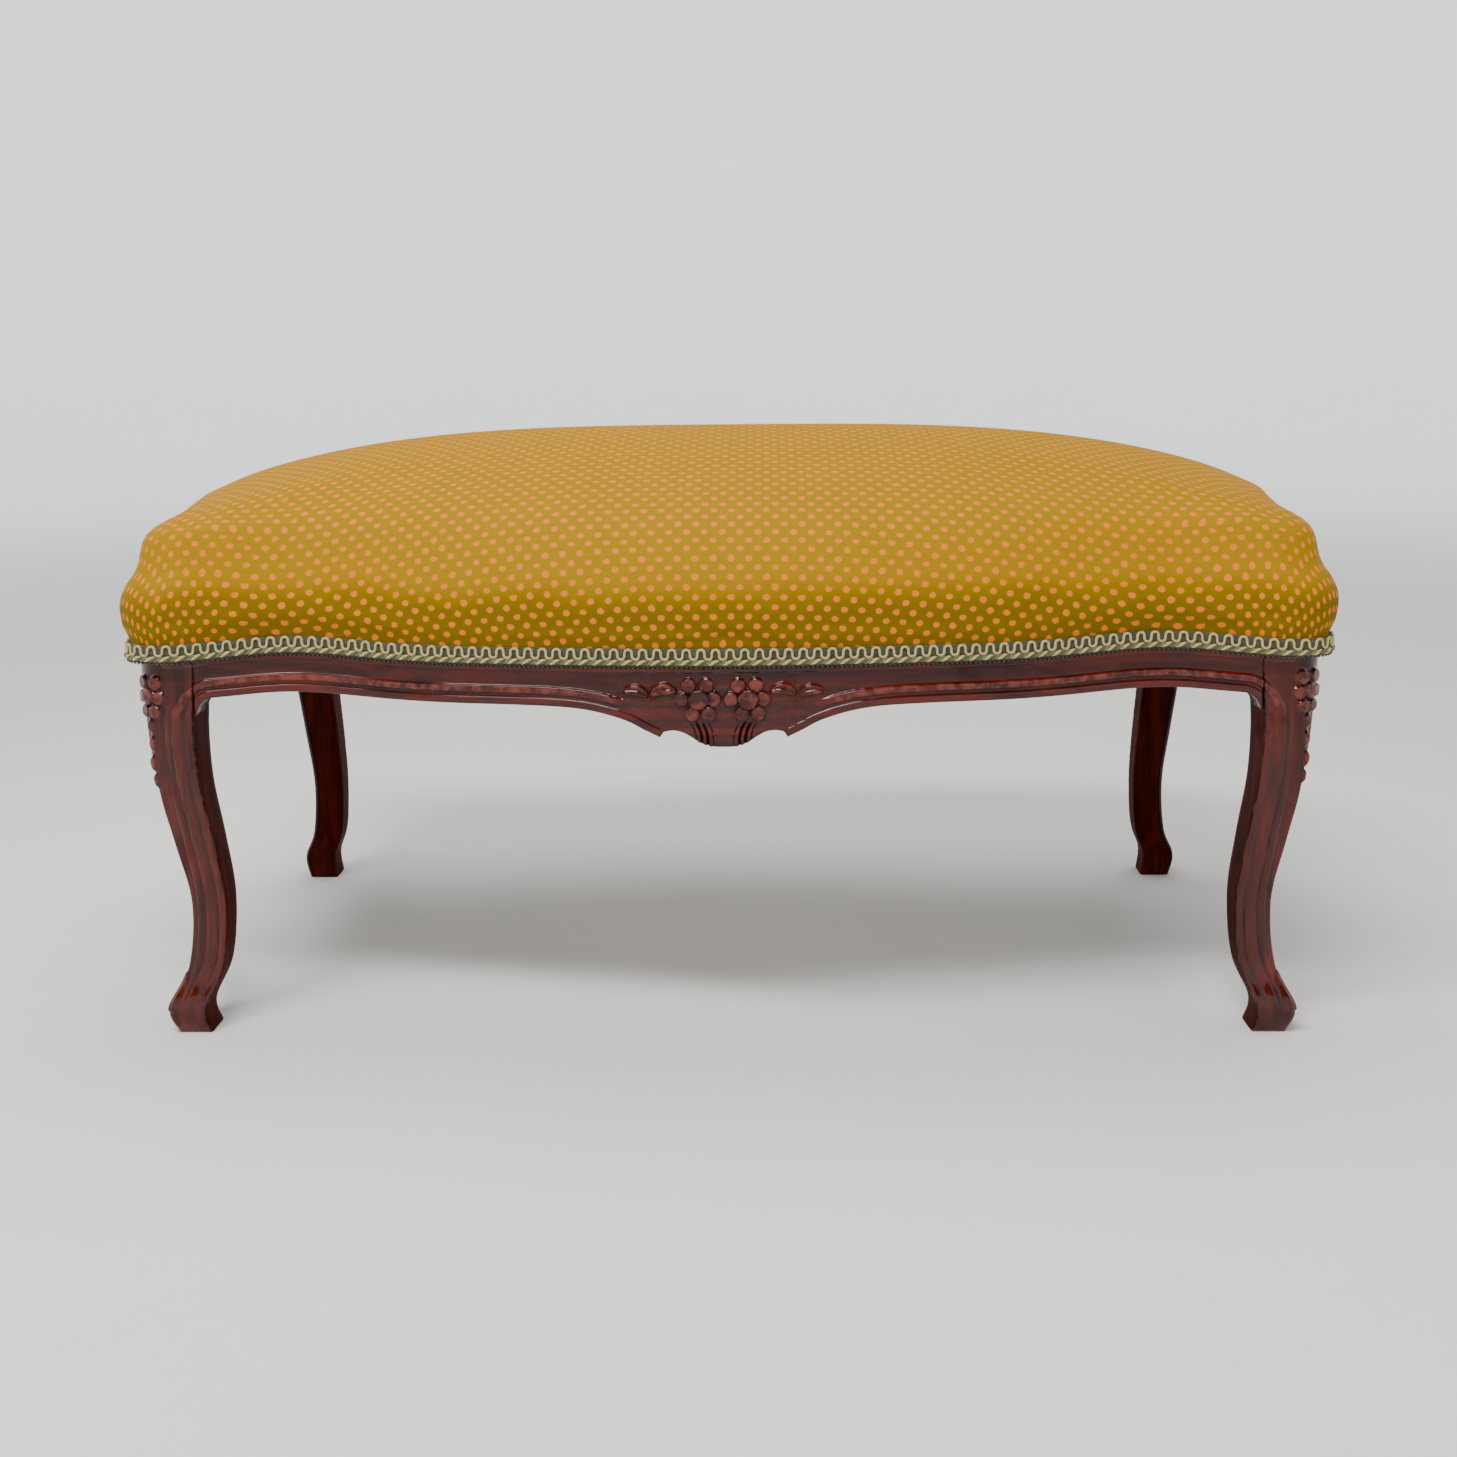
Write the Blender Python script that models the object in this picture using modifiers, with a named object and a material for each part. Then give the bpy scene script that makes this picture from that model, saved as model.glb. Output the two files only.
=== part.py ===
"""Upholstered bench: a serpentine seat frame on four cabriole legs, with a domed, braid-trimmed seat.

Frame: +X along the bench, +Y towards its back, +Z up, origin on the floor under the middle of the
seat. Sizes are in metres. The wood is shaped as a joiner shapes it: each leg and rail is the solid
that its sawn outlines have in common, cut back above the braid for the seat cover, and joined by
tenons in mortises. The seat is built up in layers: webbing, hessian, stuffing, wadding, cover, braid.
"""
import math

import bmesh
import bpy
from mathutils import Matrix, Vector

# ---------------------------------------------------------------- driving dimensions
GAP = 0.0003                 # clearance between pieces that touch

# Outer edge of the seat at the braid: one quarter, from the middle of a long side, over the
# corner above the leg, to the middle of an end.
SEAT_QUARTER = [
    (0.000, 0.247), (0.100, 0.242), (0.195, 0.230), (0.275, 0.213), (0.335, 0.205), (0.378, 0.211),
    (0.413, 0.217), (0.440, 0.207), (0.453, 0.178), (0.448, 0.125), (0.457, 0.060), (0.470, 0.000),
]
LOOP_STEPS = 2               # points per span of the seat's edge

RAIL_TOP = 0.330
SHOW_WOOD_TOP = 0.295        # above this line the cover is tacked to the frame
RAIL_UNDERSIDE = 0.2665
WOOD_INSET = 0.004           # face of the wood inside the seat's edge
REBATE_DEPTH = 0.0025        # how far the face is cut back under the cover
RAIL_THICKNESS = 0.028

LEG_X = 0.430                # corner from which the legs' curves are measured
LEG_Y = 0.203
# Height, how far the outer corner stands out from (LEG_X, LEG_Y), and the side of the square section.
LEG_CURVE = [
    (0.000, 0.0000, 0.0270), (0.020, 0.0050, 0.0290), (0.050, -0.0080, 0.0273),
    (0.100, -0.0120, 0.0271), (0.150, -0.0046, 0.0304), (0.200, 0.0039, 0.0335),
    (0.250, 0.0105, 0.0396), (0.290, 0.0145, 0.0460), (RAIL_TOP, 0.0145, 0.0460),
]
LEG_STEPS = 2
POST_SIDE = LEG_CURVE[-1][2]
POST_X = LEG_X + LEG_CURVE[-1][1] - POST_SIDE     # inner faces of the leg's post
POST_Y = LEG_Y + LEG_CURVE[-1][1] - POST_SIDE

CORNER_RADIUS = 0.013        # rail underside running down into the leg
# Underside of the shaped apron, from its shoulder to the tongue in the middle.
APRON = [
    (0.160, 0.2665), (0.120, 0.2655), (0.095, 0.2625), (0.072, 0.2560), (0.058, 0.2490),
    (0.0465, 0.2435), (0.037, 0.2490), (0.024, 0.2465), (0.012, 0.2405), (0.000, 0.2365),
]
END_ARCH = 0.005             # rise of an end rail's underside

TENON_THICKNESS = 0.010
TENON_HEIGHT = 0.040
TENON_LENGTH = 0.020
TENON_BASE = 0.280
TENON_SETBACK = 0.014        # middle of a tenon behind the face of its rail

# A corner block in plan: its inner diagonal face and how far it would run without the frame.
BLOCK_FACE = ((0.330, 0.150), (0.404, 0.098))
BLOCK_REACH = (0.470, 0.250)
BLOCK_BASE = 0.290
BLOCK_TOP = 0.322
SCREW_HEIGHT = 0.306
SCREW_LONG = (0.355, 0.138, 0.038)      # place along the long rail, head's seat, length
SCREW_END = (0.118, 0.382, 0.042)       # place along the end rail, head's seat, length
SCREW_HEAD_RADIUS = 0.0040
SCREW_SHANK_RADIUS = 0.0020
SCREW_HEAD_HEIGHT = 0.0026

WEBBING_WIDTH = 0.050
WEBBING_THICKNESS = 0.0015
WEBBING_INSET = 0.014        # ends of the strips inside the seat's edge
CROSS_STRIPS = [-0.33, -0.22, -0.11, 0.0, 0.11, 0.22, 0.33]
LONG_STRIPS = [-0.10, 0.0, 0.10]
HESSIAN_THICKNESS = 0.0008
HESSIAN_INSET = 0.012

# Outer face of the cover below the crown: distance out from the seat's edge, height, and share
# of the corners' extra padding.
COVER_SIDE = [
    (-0.0050, 0.2965, 1.0), (-0.0050, 0.3105, 1.0), (-0.0010, 0.3190, 1.0), (0.0035, 0.3290, 1.0),
    (0.0055, 0.3410, 0.8), (0.0045, 0.3540, 0.1), (0.0005, 0.3660, -0.6),
]
CORNER_PADDING = 0.0080      # how far the folded cover stands out over each corner
CORNER_MIDDLE = (0.440, 0.205)
CORNER_SPREAD = 0.045
LAYERS_FROM = 4              # the wadding and the stuffing start at this one, above the rails
SHOULDER_INSET = 0.0085
CROWN_SCALES = [1.0, 0.965, 0.92, 0.84, 0.68, 0.45, 0.18]
CROWN_BASE = 0.3795
CROWN_RISE = 0.0790
CROWN_REACH = (0.515, 0.290)            # where the crown would come down to its base
CROWN_POWER = (3.3, 1.56)
CROWN_OVAL = (0.455, 0.228)             # the level lines turn from the seat's outline to this oval
CROWN_OVAL_RATE = 1.5
SHOULDER_DROP = 0.0195       # how far the crown is rounded down at the front and back shoulders
SHOULDER_FADE = 0.016        # distance in from the shoulder over which that drop dies away
DROP_ENDS = (0.28, 0.41)     # over these distances along the bench most of it dies away too
DROP_KEPT = 0.15
COVER_THICKNESS = 0.0012
LAYER_GAP = 0.0010           # between the soft layers, whose facets don't quite follow each other
WADDING_THICKNESS = 0.0040

BRAID_BASE = 0.2955
BRAID_HEIGHT = 0.0145
BRAID_THICKNESS = 0.0030

MATERIALS = {                # colour, roughness, metallic
    "mahogany": ((0.110, 0.018, 0.011), 0.22, 0.0),
    "beech": ((0.480, 0.300, 0.150), 0.60, 0.0),
    "steel": ((0.350, 0.340, 0.330), 0.35, 1.0),
    "webbing": ((0.420, 0.310, 0.170), 0.90, 0.0),
    "hessian": ((0.500, 0.390, 0.230), 0.95, 0.0),
    "stuffing": ((0.300, 0.230, 0.150), 1.00, 0.0),
    "wadding": ((0.800, 0.780, 0.720), 1.00, 0.0),
    "jacquard": ((0.420, 0.260, 0.025), 0.85, 0.0),
    "braid": ((0.120, 0.120, 0.050), 0.80, 0.0),
}

CORNERS = {
    "front_left": (-1, -1), "front_right": (1, -1), "rear_left": (-1, 1), "rear_right": (1, 1),
}


# ---------------------------------------------------------------- scene, materials, collections
def clear_scene():
    for thing in list(bpy.data.objects):
        bpy.data.objects.remove(thing, do_unlink=True)


def new_collection(name):
    collection = bpy.data.collections.new(name)
    bpy.context.scene.collection.children.link(collection)
    return collection


def make_material(name, colour, roughness, metallic):
    material = bpy.data.materials.new(name)
    material.use_nodes = True
    shader = material.node_tree.nodes["Principled BSDF"]
    shader.inputs["Base Color"].default_value = (*colour, 1.0)
    shader.inputs["Roughness"].default_value = roughness
    shader.inputs["Metallic"].default_value = metallic
    return material


def add_object(name, mesh, collection):
    thing = bpy.data.objects.new(name, mesh)
    collection.objects.link(thing)
    return thing


def as_cutter(thing):
    thing.hide_render = True
    thing.display_type = "WIRE"
    return thing


def finish(thing, material):
    thing.data.materials.clear()
    thing.data.materials.append(material)
    thing.data.shade_smooth()
    thing.data.set_sharp_from_angle(angle=math.radians(35))
    return thing


def boolean(thing, operation, other):
    modifier = thing.modifiers.new(operation.lower(), "BOOLEAN")
    modifier.operation = operation
    modifier.solver = "EXACT"
    modifier.object = other


# ---------------------------------------------------------------- outlines
def spline_point(before, start, end, after, t):
    """Catmull-Rom point between start and end."""
    return tuple(
        0.5 * (2 * b + (c - a) * t + (2 * a - 5 * b + 4 * c - d) * t ** 2 + (3 * b - a - 3 * c + d) * t ** 3)
        for a, b, c, d in zip(before, start, end, after)
    )


def smooth_open(points, steps):
    """A smooth open line through the points."""
    ends = [points[0], *points, points[-1]]
    line = []
    for i in range(len(points) - 1):
        line += [spline_point(*ends[i:i + 4], k / steps) for k in range(steps)]
    return line + [tuple(points[-1])]


def smooth_closed(points, steps):
    """A smooth closed line through the points."""
    count = len(points)
    line = []
    for i in range(count):
        four = [points[(i + k) % count] for k in (-1, 0, 1, 2)]
        line += [spline_point(*four, k / steps) for k in range(steps)]
    return line


def seat_loop():
    """The seat's edge, counter-clockwise from the middle of the front."""
    quarter = SEAT_QUARTER
    front_right = [(x, -y) for x, y in quarter]
    rear_right = [(x, y) for x, y in reversed(quarter[:-1])]
    rear_left = [(-x, y) for x, y in quarter[1:]]
    front_left = [(-x, -y) for x, y in reversed(quarter[1:-1])]
    return smooth_closed(front_right + rear_right + rear_left + front_left, LOOP_STEPS)


def offset_loop(loop, distance):
    """The loop moved outwards by a distance."""
    count = len(loop)
    moved = []
    for i, (x, y) in enumerate(loop):
        ax, ay = loop[i - 1]
        bx, by = loop[(i + 1) % count]
        length = math.hypot(bx - ax, by - ay)
        moved.append((x + (by - ay) / length * distance, y - (bx - ax) / length * distance))
    return moved


def distance_to(loop, point):
    """Distance in plan from a point to the nearest side of the loop."""
    px, py = point
    nearest = math.inf
    for (ax, ay), (bx, by) in zip(loop, loop[1:] + loop[:1]):
        dx, dy = bx - ax, by - ay
        t = min(1.0, max(0.0, ((px - ax) * dx + (py - ay) * dy) / (dx * dx + dy * dy)))
        nearest = min(nearest, math.hypot(px - ax - t * dx, py - ay - t * dy))
    return nearest


def inset_loop(loop, distance):
    """The loop moved inwards, without the points that a tight corner would fold over."""
    return [point for point in offset_loop(loop, -distance) if distance_to(loop, point) > distance * 0.96]


def edge_at(loop, value, axis):
    """Half width of the loop across the given axis (0 for x, 1 for y) at a value along it."""
    other = 1 - axis
    best = 0.0
    for a, b in zip(loop, loop[1:] + loop[:1]):
        if min(a[axis], b[axis]) <= value <= max(a[axis], b[axis]) and a[axis] != b[axis]:
            t = (value - a[axis]) / (b[axis] - a[axis])
            best = max(best, a[other] + (b[other] - a[other]) * t)
    return best


# ---------------------------------------------------------------- solids
UPRIGHT_LONG = Matrix.Rotation(math.radians(90), 4, "X")                       # outline in X and Z
UPRIGHT_END = Matrix.Rotation(math.radians(90), 4, "Z") @ UPRIGHT_LONG         # outline in Y and Z


def prism(name, outlines, low, high, collection, turn=None):
    """Flat outlines, inner ones as holes, extruded from low to high across their plane."""
    curve = bpy.data.curves.new(name, "CURVE")
    curve.dimensions = "2D"
    curve.fill_mode = "BOTH"
    curve.extrude = (high - low) / 2
    for outline in outlines:
        spline = curve.splines.new("POLY")
        spline.points.add(len(outline) - 1)
        for point, (x, y) in zip(spline.points, outline):
            point.co = (x, y, 0.0, 1.0)
        spline.use_cyclic_u = True
    drawn = add_object(name, curve, collection)
    drawn.location.z = (low + high) / 2
    bpy.context.view_layer.update()
    mesh = bpy.data.meshes.new_from_object(drawn.evaluated_get(bpy.context.evaluated_depsgraph_get()))
    mesh.transform((turn or Matrix.Identity(4)) @ drawn.matrix_world)
    bpy.data.objects.remove(drawn, do_unlink=True)
    bm = bmesh.new()
    bm.from_mesh(mesh)
    bmesh.ops.remove_doubles(bm, verts=bm.verts, dist=0.00001)
    bmesh.ops.recalc_face_normals(bm, faces=bm.faces)
    bm.to_mesh(mesh)
    bm.free()
    mesh.name = name
    return add_object(name, mesh, collection)


def box(name, low, high, collection):
    """A box between two corners, given in any order."""
    low, high = zip(*((min(a, b), max(a, b)) for a, b in zip(low, high)))
    bm = bmesh.new()
    bmesh.ops.create_cube(bm, size=1.0)
    size = [b - a for a, b in zip(low, high)]
    middle = [(a + b) / 2 for a, b in zip(low, high)]
    place = Matrix.Translation(middle) @ Matrix.Diagonal((*size, 1.0))
    bmesh.ops.transform(bm, verts=bm.verts, matrix=place)
    mesh = bpy.data.meshes.new(name)
    bm.to_mesh(mesh)
    bm.free()
    return add_object(name, mesh, collection)


def close_end(bm, ring, peak):
    """Closes a ring with a fan to its peak, or flat where it has none."""
    if peak is None:
        bm.faces.new(ring)
        return
    middle = bm.verts.new(peak)
    for a, b in zip(ring, ring[1:] + ring[:1]):
        bm.faces.new((a, b, middle))


def loft(name, rings, collection, wrap=False, peaks=(None, None)):
    """Quads between rings with equally many points, then its two ends, or with wrap a closed band."""
    bm = bmesh.new()
    made = [[bm.verts.new(point) for point in ring] for ring in rings]
    count = len(rings[0])
    pairs = list(zip(made, made[1:])) + ([(made[-1], made[0])] if wrap else [])
    for lower, upper in pairs:
        for i in range(count):
            j = (i + 1) % count
            bm.faces.new((lower[i], lower[j], upper[j], upper[i]))
    if not wrap:
        close_end(bm, made[0][::-1], peaks[0])
        close_end(bm, made[-1], peaks[1])
    bmesh.ops.recalc_face_normals(bm, faces=bm.faces)
    bmesh.ops.triangulate(bm, faces=bm.faces, quad_method="SHORT_EDGE")
    mesh = bpy.data.meshes.new(name)
    bm.to_mesh(mesh)
    bm.free()
    return add_object(name, mesh, collection)


# ---------------------------------------------------------------- the wooden frame
def leg_outline(base, sign):
    """A leg seen square on: its outer curve up, its inner curve down."""
    curve = smooth_open(LEG_CURVE, LEG_STEPS)
    outer = [(sign * (base + out), z) for z, out, side in curve]
    inner = [(sign * (base + out - side), z) for z, out, side in curve]
    return outer + inner[::-1]


def tenon_box(name, corner, along, clearance, collection):
    """The tenon at one end of a rail, or with a clearance its mortise; along is the rail's axis."""
    sx, sy = CORNERS[corner]
    face = offset_loop(seat_loop(), -WOOD_INSET)
    low_z = TENON_BASE - clearance
    high_z = TENON_BASE + TENON_HEIGHT + clearance
    half = TENON_THICKNESS / 2 + clearance
    root = 0.004 if clearance == 0 else 0.001
    post = (POST_X, POST_Y)[along]
    across = edge_at(face, post, along) - TENON_SETBACK
    ends = (post - root, post + TENON_LENGTH + 2 * clearance)
    sides = (across - half, across + half)
    if along == 0:
        low, high = (sx * ends[0], sy * sides[0], low_z), (sx * ends[1], sy * sides[1], high_z)
    else:
        low, high = (sx * sides[0], sy * ends[0], low_z), (sx * sides[1], sy * ends[1], high_z)
    return box(name, low, high, collection)


def make_leg(corner, shared, parts, cutters):
    sx, sy = CORNERS[corner]
    leg = prism(f"leg_{corner}", [leg_outline(LEG_X, sx)], -0.3, 0.3, parts, UPRIGHT_LONG)
    side = prism(f"cut_leg_side_{corner}", [leg_outline(LEG_Y, sy)], -0.6, 0.6, cutters, UPRIGHT_END)
    boolean(leg, "INTERSECT", as_cutter(side))
    boolean(leg, "INTERSECT", shared["wood_plan"])
    boolean(leg, "DIFFERENCE", shared["rebate"])
    for along in (0, 1):
        mortise = tenon_box(f"cut_mortise_{corner}_{along}", corner, along, GAP, cutters)
        boolean(leg, "DIFFERENCE", as_cutter(mortise))
    return leg


def corner_arc():
    """The underside of a long rail turning down into the leg, from the rail towards the leg."""
    end = POST_X - GAP
    centre_x, centre_z = end - CORNER_RADIUS, RAIL_UNDERSIDE - CORNER_RADIUS
    turns = [math.radians(a) for a in (90, 60, 30, 0)]
    return [(centre_x + CORNER_RADIUS * math.cos(a), centre_z + CORNER_RADIUS * math.sin(a)) for a in turns]


def long_rail_outline():
    """A long rail seen from the front: a straight top, and the apron hanging in the middle."""
    half = corner_arc()[::-1] + smooth_open(APRON[:6], 2) + smooth_open(APRON[6:], 2)
    left = [(-x, z) for x, z in half]
    right = half[::-1]
    end = POST_X - GAP
    return left[:-1] + right + [(end, RAIL_TOP), (-end, RAIL_TOP)]


def end_rail_outline():
    """An end rail seen from the side, with a slightly arched underside."""
    end = POST_Y - GAP
    turns = [k / 8 for k in range(-8, 9)]
    arch = [(end * t, RAIL_UNDERSIDE + END_ARCH * (1 - t * t)) for t in turns]
    return arch + [(end, RAIL_TOP), (-end, RAIL_TOP)]


def make_long_rail(name, side, shared, parts, cutters):
    low, high = (0.10, 0.30) if side < 0 else (-0.30, -0.10)
    rail = prism(f"rail_{name}", [long_rail_outline()], low, high, parts, UPRIGHT_LONG)
    boolean(rail, "INTERSECT", shared["rail_ring"])
    boolean(rail, "DIFFERENCE", shared["rebate"])
    for corner, (_, sy) in CORNERS.items():
        if sy == side:
            tenon = tenon_box(f"join_tenon_long_{corner}", corner, 0, 0.0, cutters)
            boolean(rail, "UNION", as_cutter(tenon))
    return rail


def make_end_rail(name, side, shared, parts, cutters):
    low, high = (-0.55, -0.396) if side < 0 else (0.396, 0.55)
    rail = prism(f"rail_{name}", [end_rail_outline()], low, high, parts, UPRIGHT_END)
    boolean(rail, "INTERSECT", shared["rail_ring"])
    boolean(rail, "DIFFERENCE", shared["rebate"])
    for corner, (sx, _) in CORNERS.items():
        if sx == side:
            tenon = tenon_box(f"join_tenon_end_{corner}", corner, 1, 0.0, cutters)
            boolean(rail, "UNION", as_cutter(tenon))
    return rail


def make_corner_block(corner, shared, parts, cutters):
    sx, sy = CORNERS[corner]
    (ax, ay), (bx, by) = BLOCK_FACE
    far_x, far_y = BLOCK_REACH
    plan = [(ax, ay), (bx, by), (far_x, by), (far_x, far_y), (ax, far_y)]
    block = prism(f"corner_block_{corner}", [[(sx * x, sy * y) for x, y in plan]],
                  BLOCK_BASE, BLOCK_TOP, parts)
    boolean(block, "INTERSECT", shared["inside_plan"])
    post = box(f"cut_post_{corner}", (sx * (POST_X - GAP), sy * (POST_Y - GAP), BLOCK_BASE - 0.01),
               (sx * 0.6, sy * 0.4, BLOCK_TOP + 0.01), cutters)
    boolean(block, "DIFFERENCE", as_cutter(post))
    return block


def turned(name, profile, place, collection):
    """A profile of (radius, height), top to bottom down its outer side, turned and put in place."""
    bm = bmesh.new()
    points = [bm.verts.new((radius, 0.0, height)) for radius, height in profile]
    for a, b in zip(points, points[1:]):
        bm.edges.new((a, b))
    mesh = bpy.data.meshes.new(name)
    bm.to_mesh(mesh)
    bm.free()
    thing = add_object(name, mesh, collection)
    screw = thing.modifiers.new("turn", "SCREW")
    screw.angle = math.radians(360)
    screw.steps = 10
    screw.render_steps = 10
    screw.use_merge_vertices = True
    screw.merge_threshold = 0.0001
    thing.matrix_world = place
    return thing


def screw_place(corner, along):
    """Where a screw's head seats and which way it points: its own -Z runs into the rail."""
    sx, sy = CORNERS[corner]
    if along == 0:
        station, seat, _ = SCREW_LONG
        turn = Matrix.Rotation(math.radians(90 * sy), 4, "X")
        return Matrix.Translation((sx * station, sy * seat, SCREW_HEIGHT)) @ turn
    station, seat, _ = SCREW_END
    turn = Matrix.Rotation(math.radians(-90 * sx), 4, "Y")
    return Matrix.Translation((sx * seat, sy * station, SCREW_HEIGHT)) @ turn


def make_screw(corner, along, targets, parts, cutters):
    length = (SCREW_LONG, SCREW_END)[along][2]
    place = screw_place(corner, along)
    name = ("long", "end")[along]
    head, shank, tall = SCREW_HEAD_RADIUS, SCREW_SHANK_RADIUS, SCREW_HEAD_HEIGHT
    profile = [(0.0, tall), (head, tall), (head, tall * 0.8), (shank, 0.0), (shank, 0.006 - length),
               (0.0, -length)]
    screw = turned(f"screw_{name}_{corner}", profile, place, parts)
    out = GAP * 1.5
    bore = [(0.0, 0.040), (head + out, 0.040), (head + out, tall * 0.8), (shank + out, -out),
            (shank + out, 0.006 - length), (0.0, -length - 2 * out)]
    cutter = as_cutter(turned(f"cut_screw_{name}_{corner}", bore, place, cutters))
    for target in targets:
        boolean(target, "DIFFERENCE", cutter)
    return screw


# ---------------------------------------------------------------- the seat
def make_webbing(parts):
    """Jute strips on top of the rails: short ones across, then long ones over them."""
    loop = seat_loop()
    strips = []
    half = WEBBING_WIDTH / 2
    low = RAIL_TOP + GAP
    for number, x in enumerate(CROSS_STRIPS, 1):
        reach = min(edge_at(loop, x + s * half, 0) for s in (-1, 0, 1)) - WEBBING_INSET
        strips.append(box(f"webbing_cross_{number}", (x - half, -reach, low),
                          (x + half, reach, low + WEBBING_THICKNESS), parts))
    low += WEBBING_THICKNESS + GAP
    for number, y in enumerate(LONG_STRIPS, 1):
        reach = min(edge_at(loop, y + s * half, 1) for s in (-1, 0, 1)) - WEBBING_INSET
        strips.append(box(f"webbing_long_{number}", (-reach, y - half, low),
                          (reach, y + half, low + WEBBING_THICKNESS), parts))
    return strips, low + WEBBING_THICKNESS + GAP


def corner_padded(loop, share):
    """The loop pushed out round the corners by a share of their padding."""
    padded = []
    for (x, y), (ox, oy) in zip(loop, offset_loop(loop, CORNER_PADDING)):
        away = math.hypot(abs(x) - CORNER_MIDDLE[0], abs(y) - CORNER_MIDDLE[1])
        push = share * math.exp(-(away / CORNER_SPREAD) ** 2)
        padded.append((x + (ox - x) * push, y + (oy - y) * push))
    return padded


def shoulder_drop(loop, x, y):
    """How far the crown is rounded down, most of all at its front and back shoulders."""
    along = min(1.0, max(0.0, (abs(x) - DROP_ENDS[0]) / (DROP_ENDS[1] - DROP_ENDS[0])))
    kept = 1 - (1 - DROP_KEPT) * along * along * (3 - 2 * along)
    inward = max(0.0, distance_to(loop, (x, y)) - SHOULDER_INSET)
    return SHOULDER_DROP * kept * math.exp(-inward / SHOULDER_FADE)


def crown_height(loop, x, y):
    part_x = 1 - (abs(x) / CROWN_REACH[0]) ** CROWN_POWER[0]
    part_y = 1 - (abs(y) / CROWN_REACH[1]) ** CROWN_POWER[1]
    return CROWN_BASE + CROWN_RISE * part_x * part_y - shoulder_drop(loop, x, y)


def crown_ring(loop, scale):
    """A level line of the crown: the seat's shoulder shrunk, and turned to an oval near the middle."""
    blend = min(1.0, (1 - scale) * CROWN_OVAL_RATE)
    ring = []
    for (x, y), (shoulder_x, shoulder_y) in zip(loop, offset_loop(loop, -SHOULDER_INSET)):
        angle = math.atan2(y / SEAT_QUARTER[0][1], x / SEAT_QUARTER[-1][0])
        px = scale * (shoulder_x * (1 - blend) + CROWN_OVAL[0] * math.cos(angle) * blend)
        py = scale * (shoulder_y * (1 - blend) + CROWN_OVAL[1] * math.sin(angle) * blend)
        ring.append((px, py, crown_height(loop, px, py)))
    return ring


def skin_rings(inset):
    """Rings an inset inside the cover's outer face, from its bottom edge to the crown's middle."""
    loop = seat_loop()
    rings = []
    for out, z, share in COVER_SIDE:
        rings.append([(x, y, z) for x, y in corner_padded(offset_loop(loop, out), share)])
    rings += [crown_ring(loop, scale) for scale in CROWN_SCALES]
    count = len(loop)
    moved = []
    for level, ring in enumerate(rings):
        below, above = rings[max(level - 1, 0)], rings[min(level + 1, len(rings) - 1)]
        line = []
        for i, point in enumerate(ring):
            along = Vector(ring[(i + 1) % count]) - Vector(ring[i - 1])
            upward = Vector(above[i]) - Vector(below[i])
            line.append(Vector(point) - along.cross(upward).normalized() * inset)
        moved.append(line)
    return moved


def peak(inset):
    return (0.0, 0.0, crown_height(seat_loop(), 0.0, 0.0) - inset)


def make_layer(name, first, inset, thickness, collection):
    """A layer of the seat, from the given ring up: its outer face an inset inside the cover's."""
    inner = inset + thickness
    rings = skin_rings(inset)[first:][::-1] + skin_rings(inner)[first:]
    return loft(name, rings, collection, peaks=(peak(inset), peak(inner)))


def make_stuffing(base, first, inset, collection):
    """The stuffing: a closed dome from the hessian up to just under the wadding."""
    rings = skin_rings(inset)[first:]
    bottom = [(x, y, base) for x, y in offset_loop(seat_loop(), COVER_SIDE[first][0] - inset - 0.004)]
    return loft("stuffing", [bottom] + rings, collection, peaks=(None, peak(inset)))


def make_braid(collection):
    """The gimp that covers the cover's tacked edge: a flat band right round the seat."""
    loop = seat_loop()
    inner = COVER_SIDE[0][0] + GAP
    corners = [
        (inner, BRAID_BASE), (inner + BRAID_THICKNESS, BRAID_BASE),
        (inner + BRAID_THICKNESS, BRAID_BASE + BRAID_HEIGHT), (inner, BRAID_BASE + BRAID_HEIGHT),
    ]
    rings = [[(x, y, z) for x, y in corner_padded(offset_loop(loop, out), 1.0)] for out, z in corners]
    return loft("gimp_braid", rings, collection, wrap=True)


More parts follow.
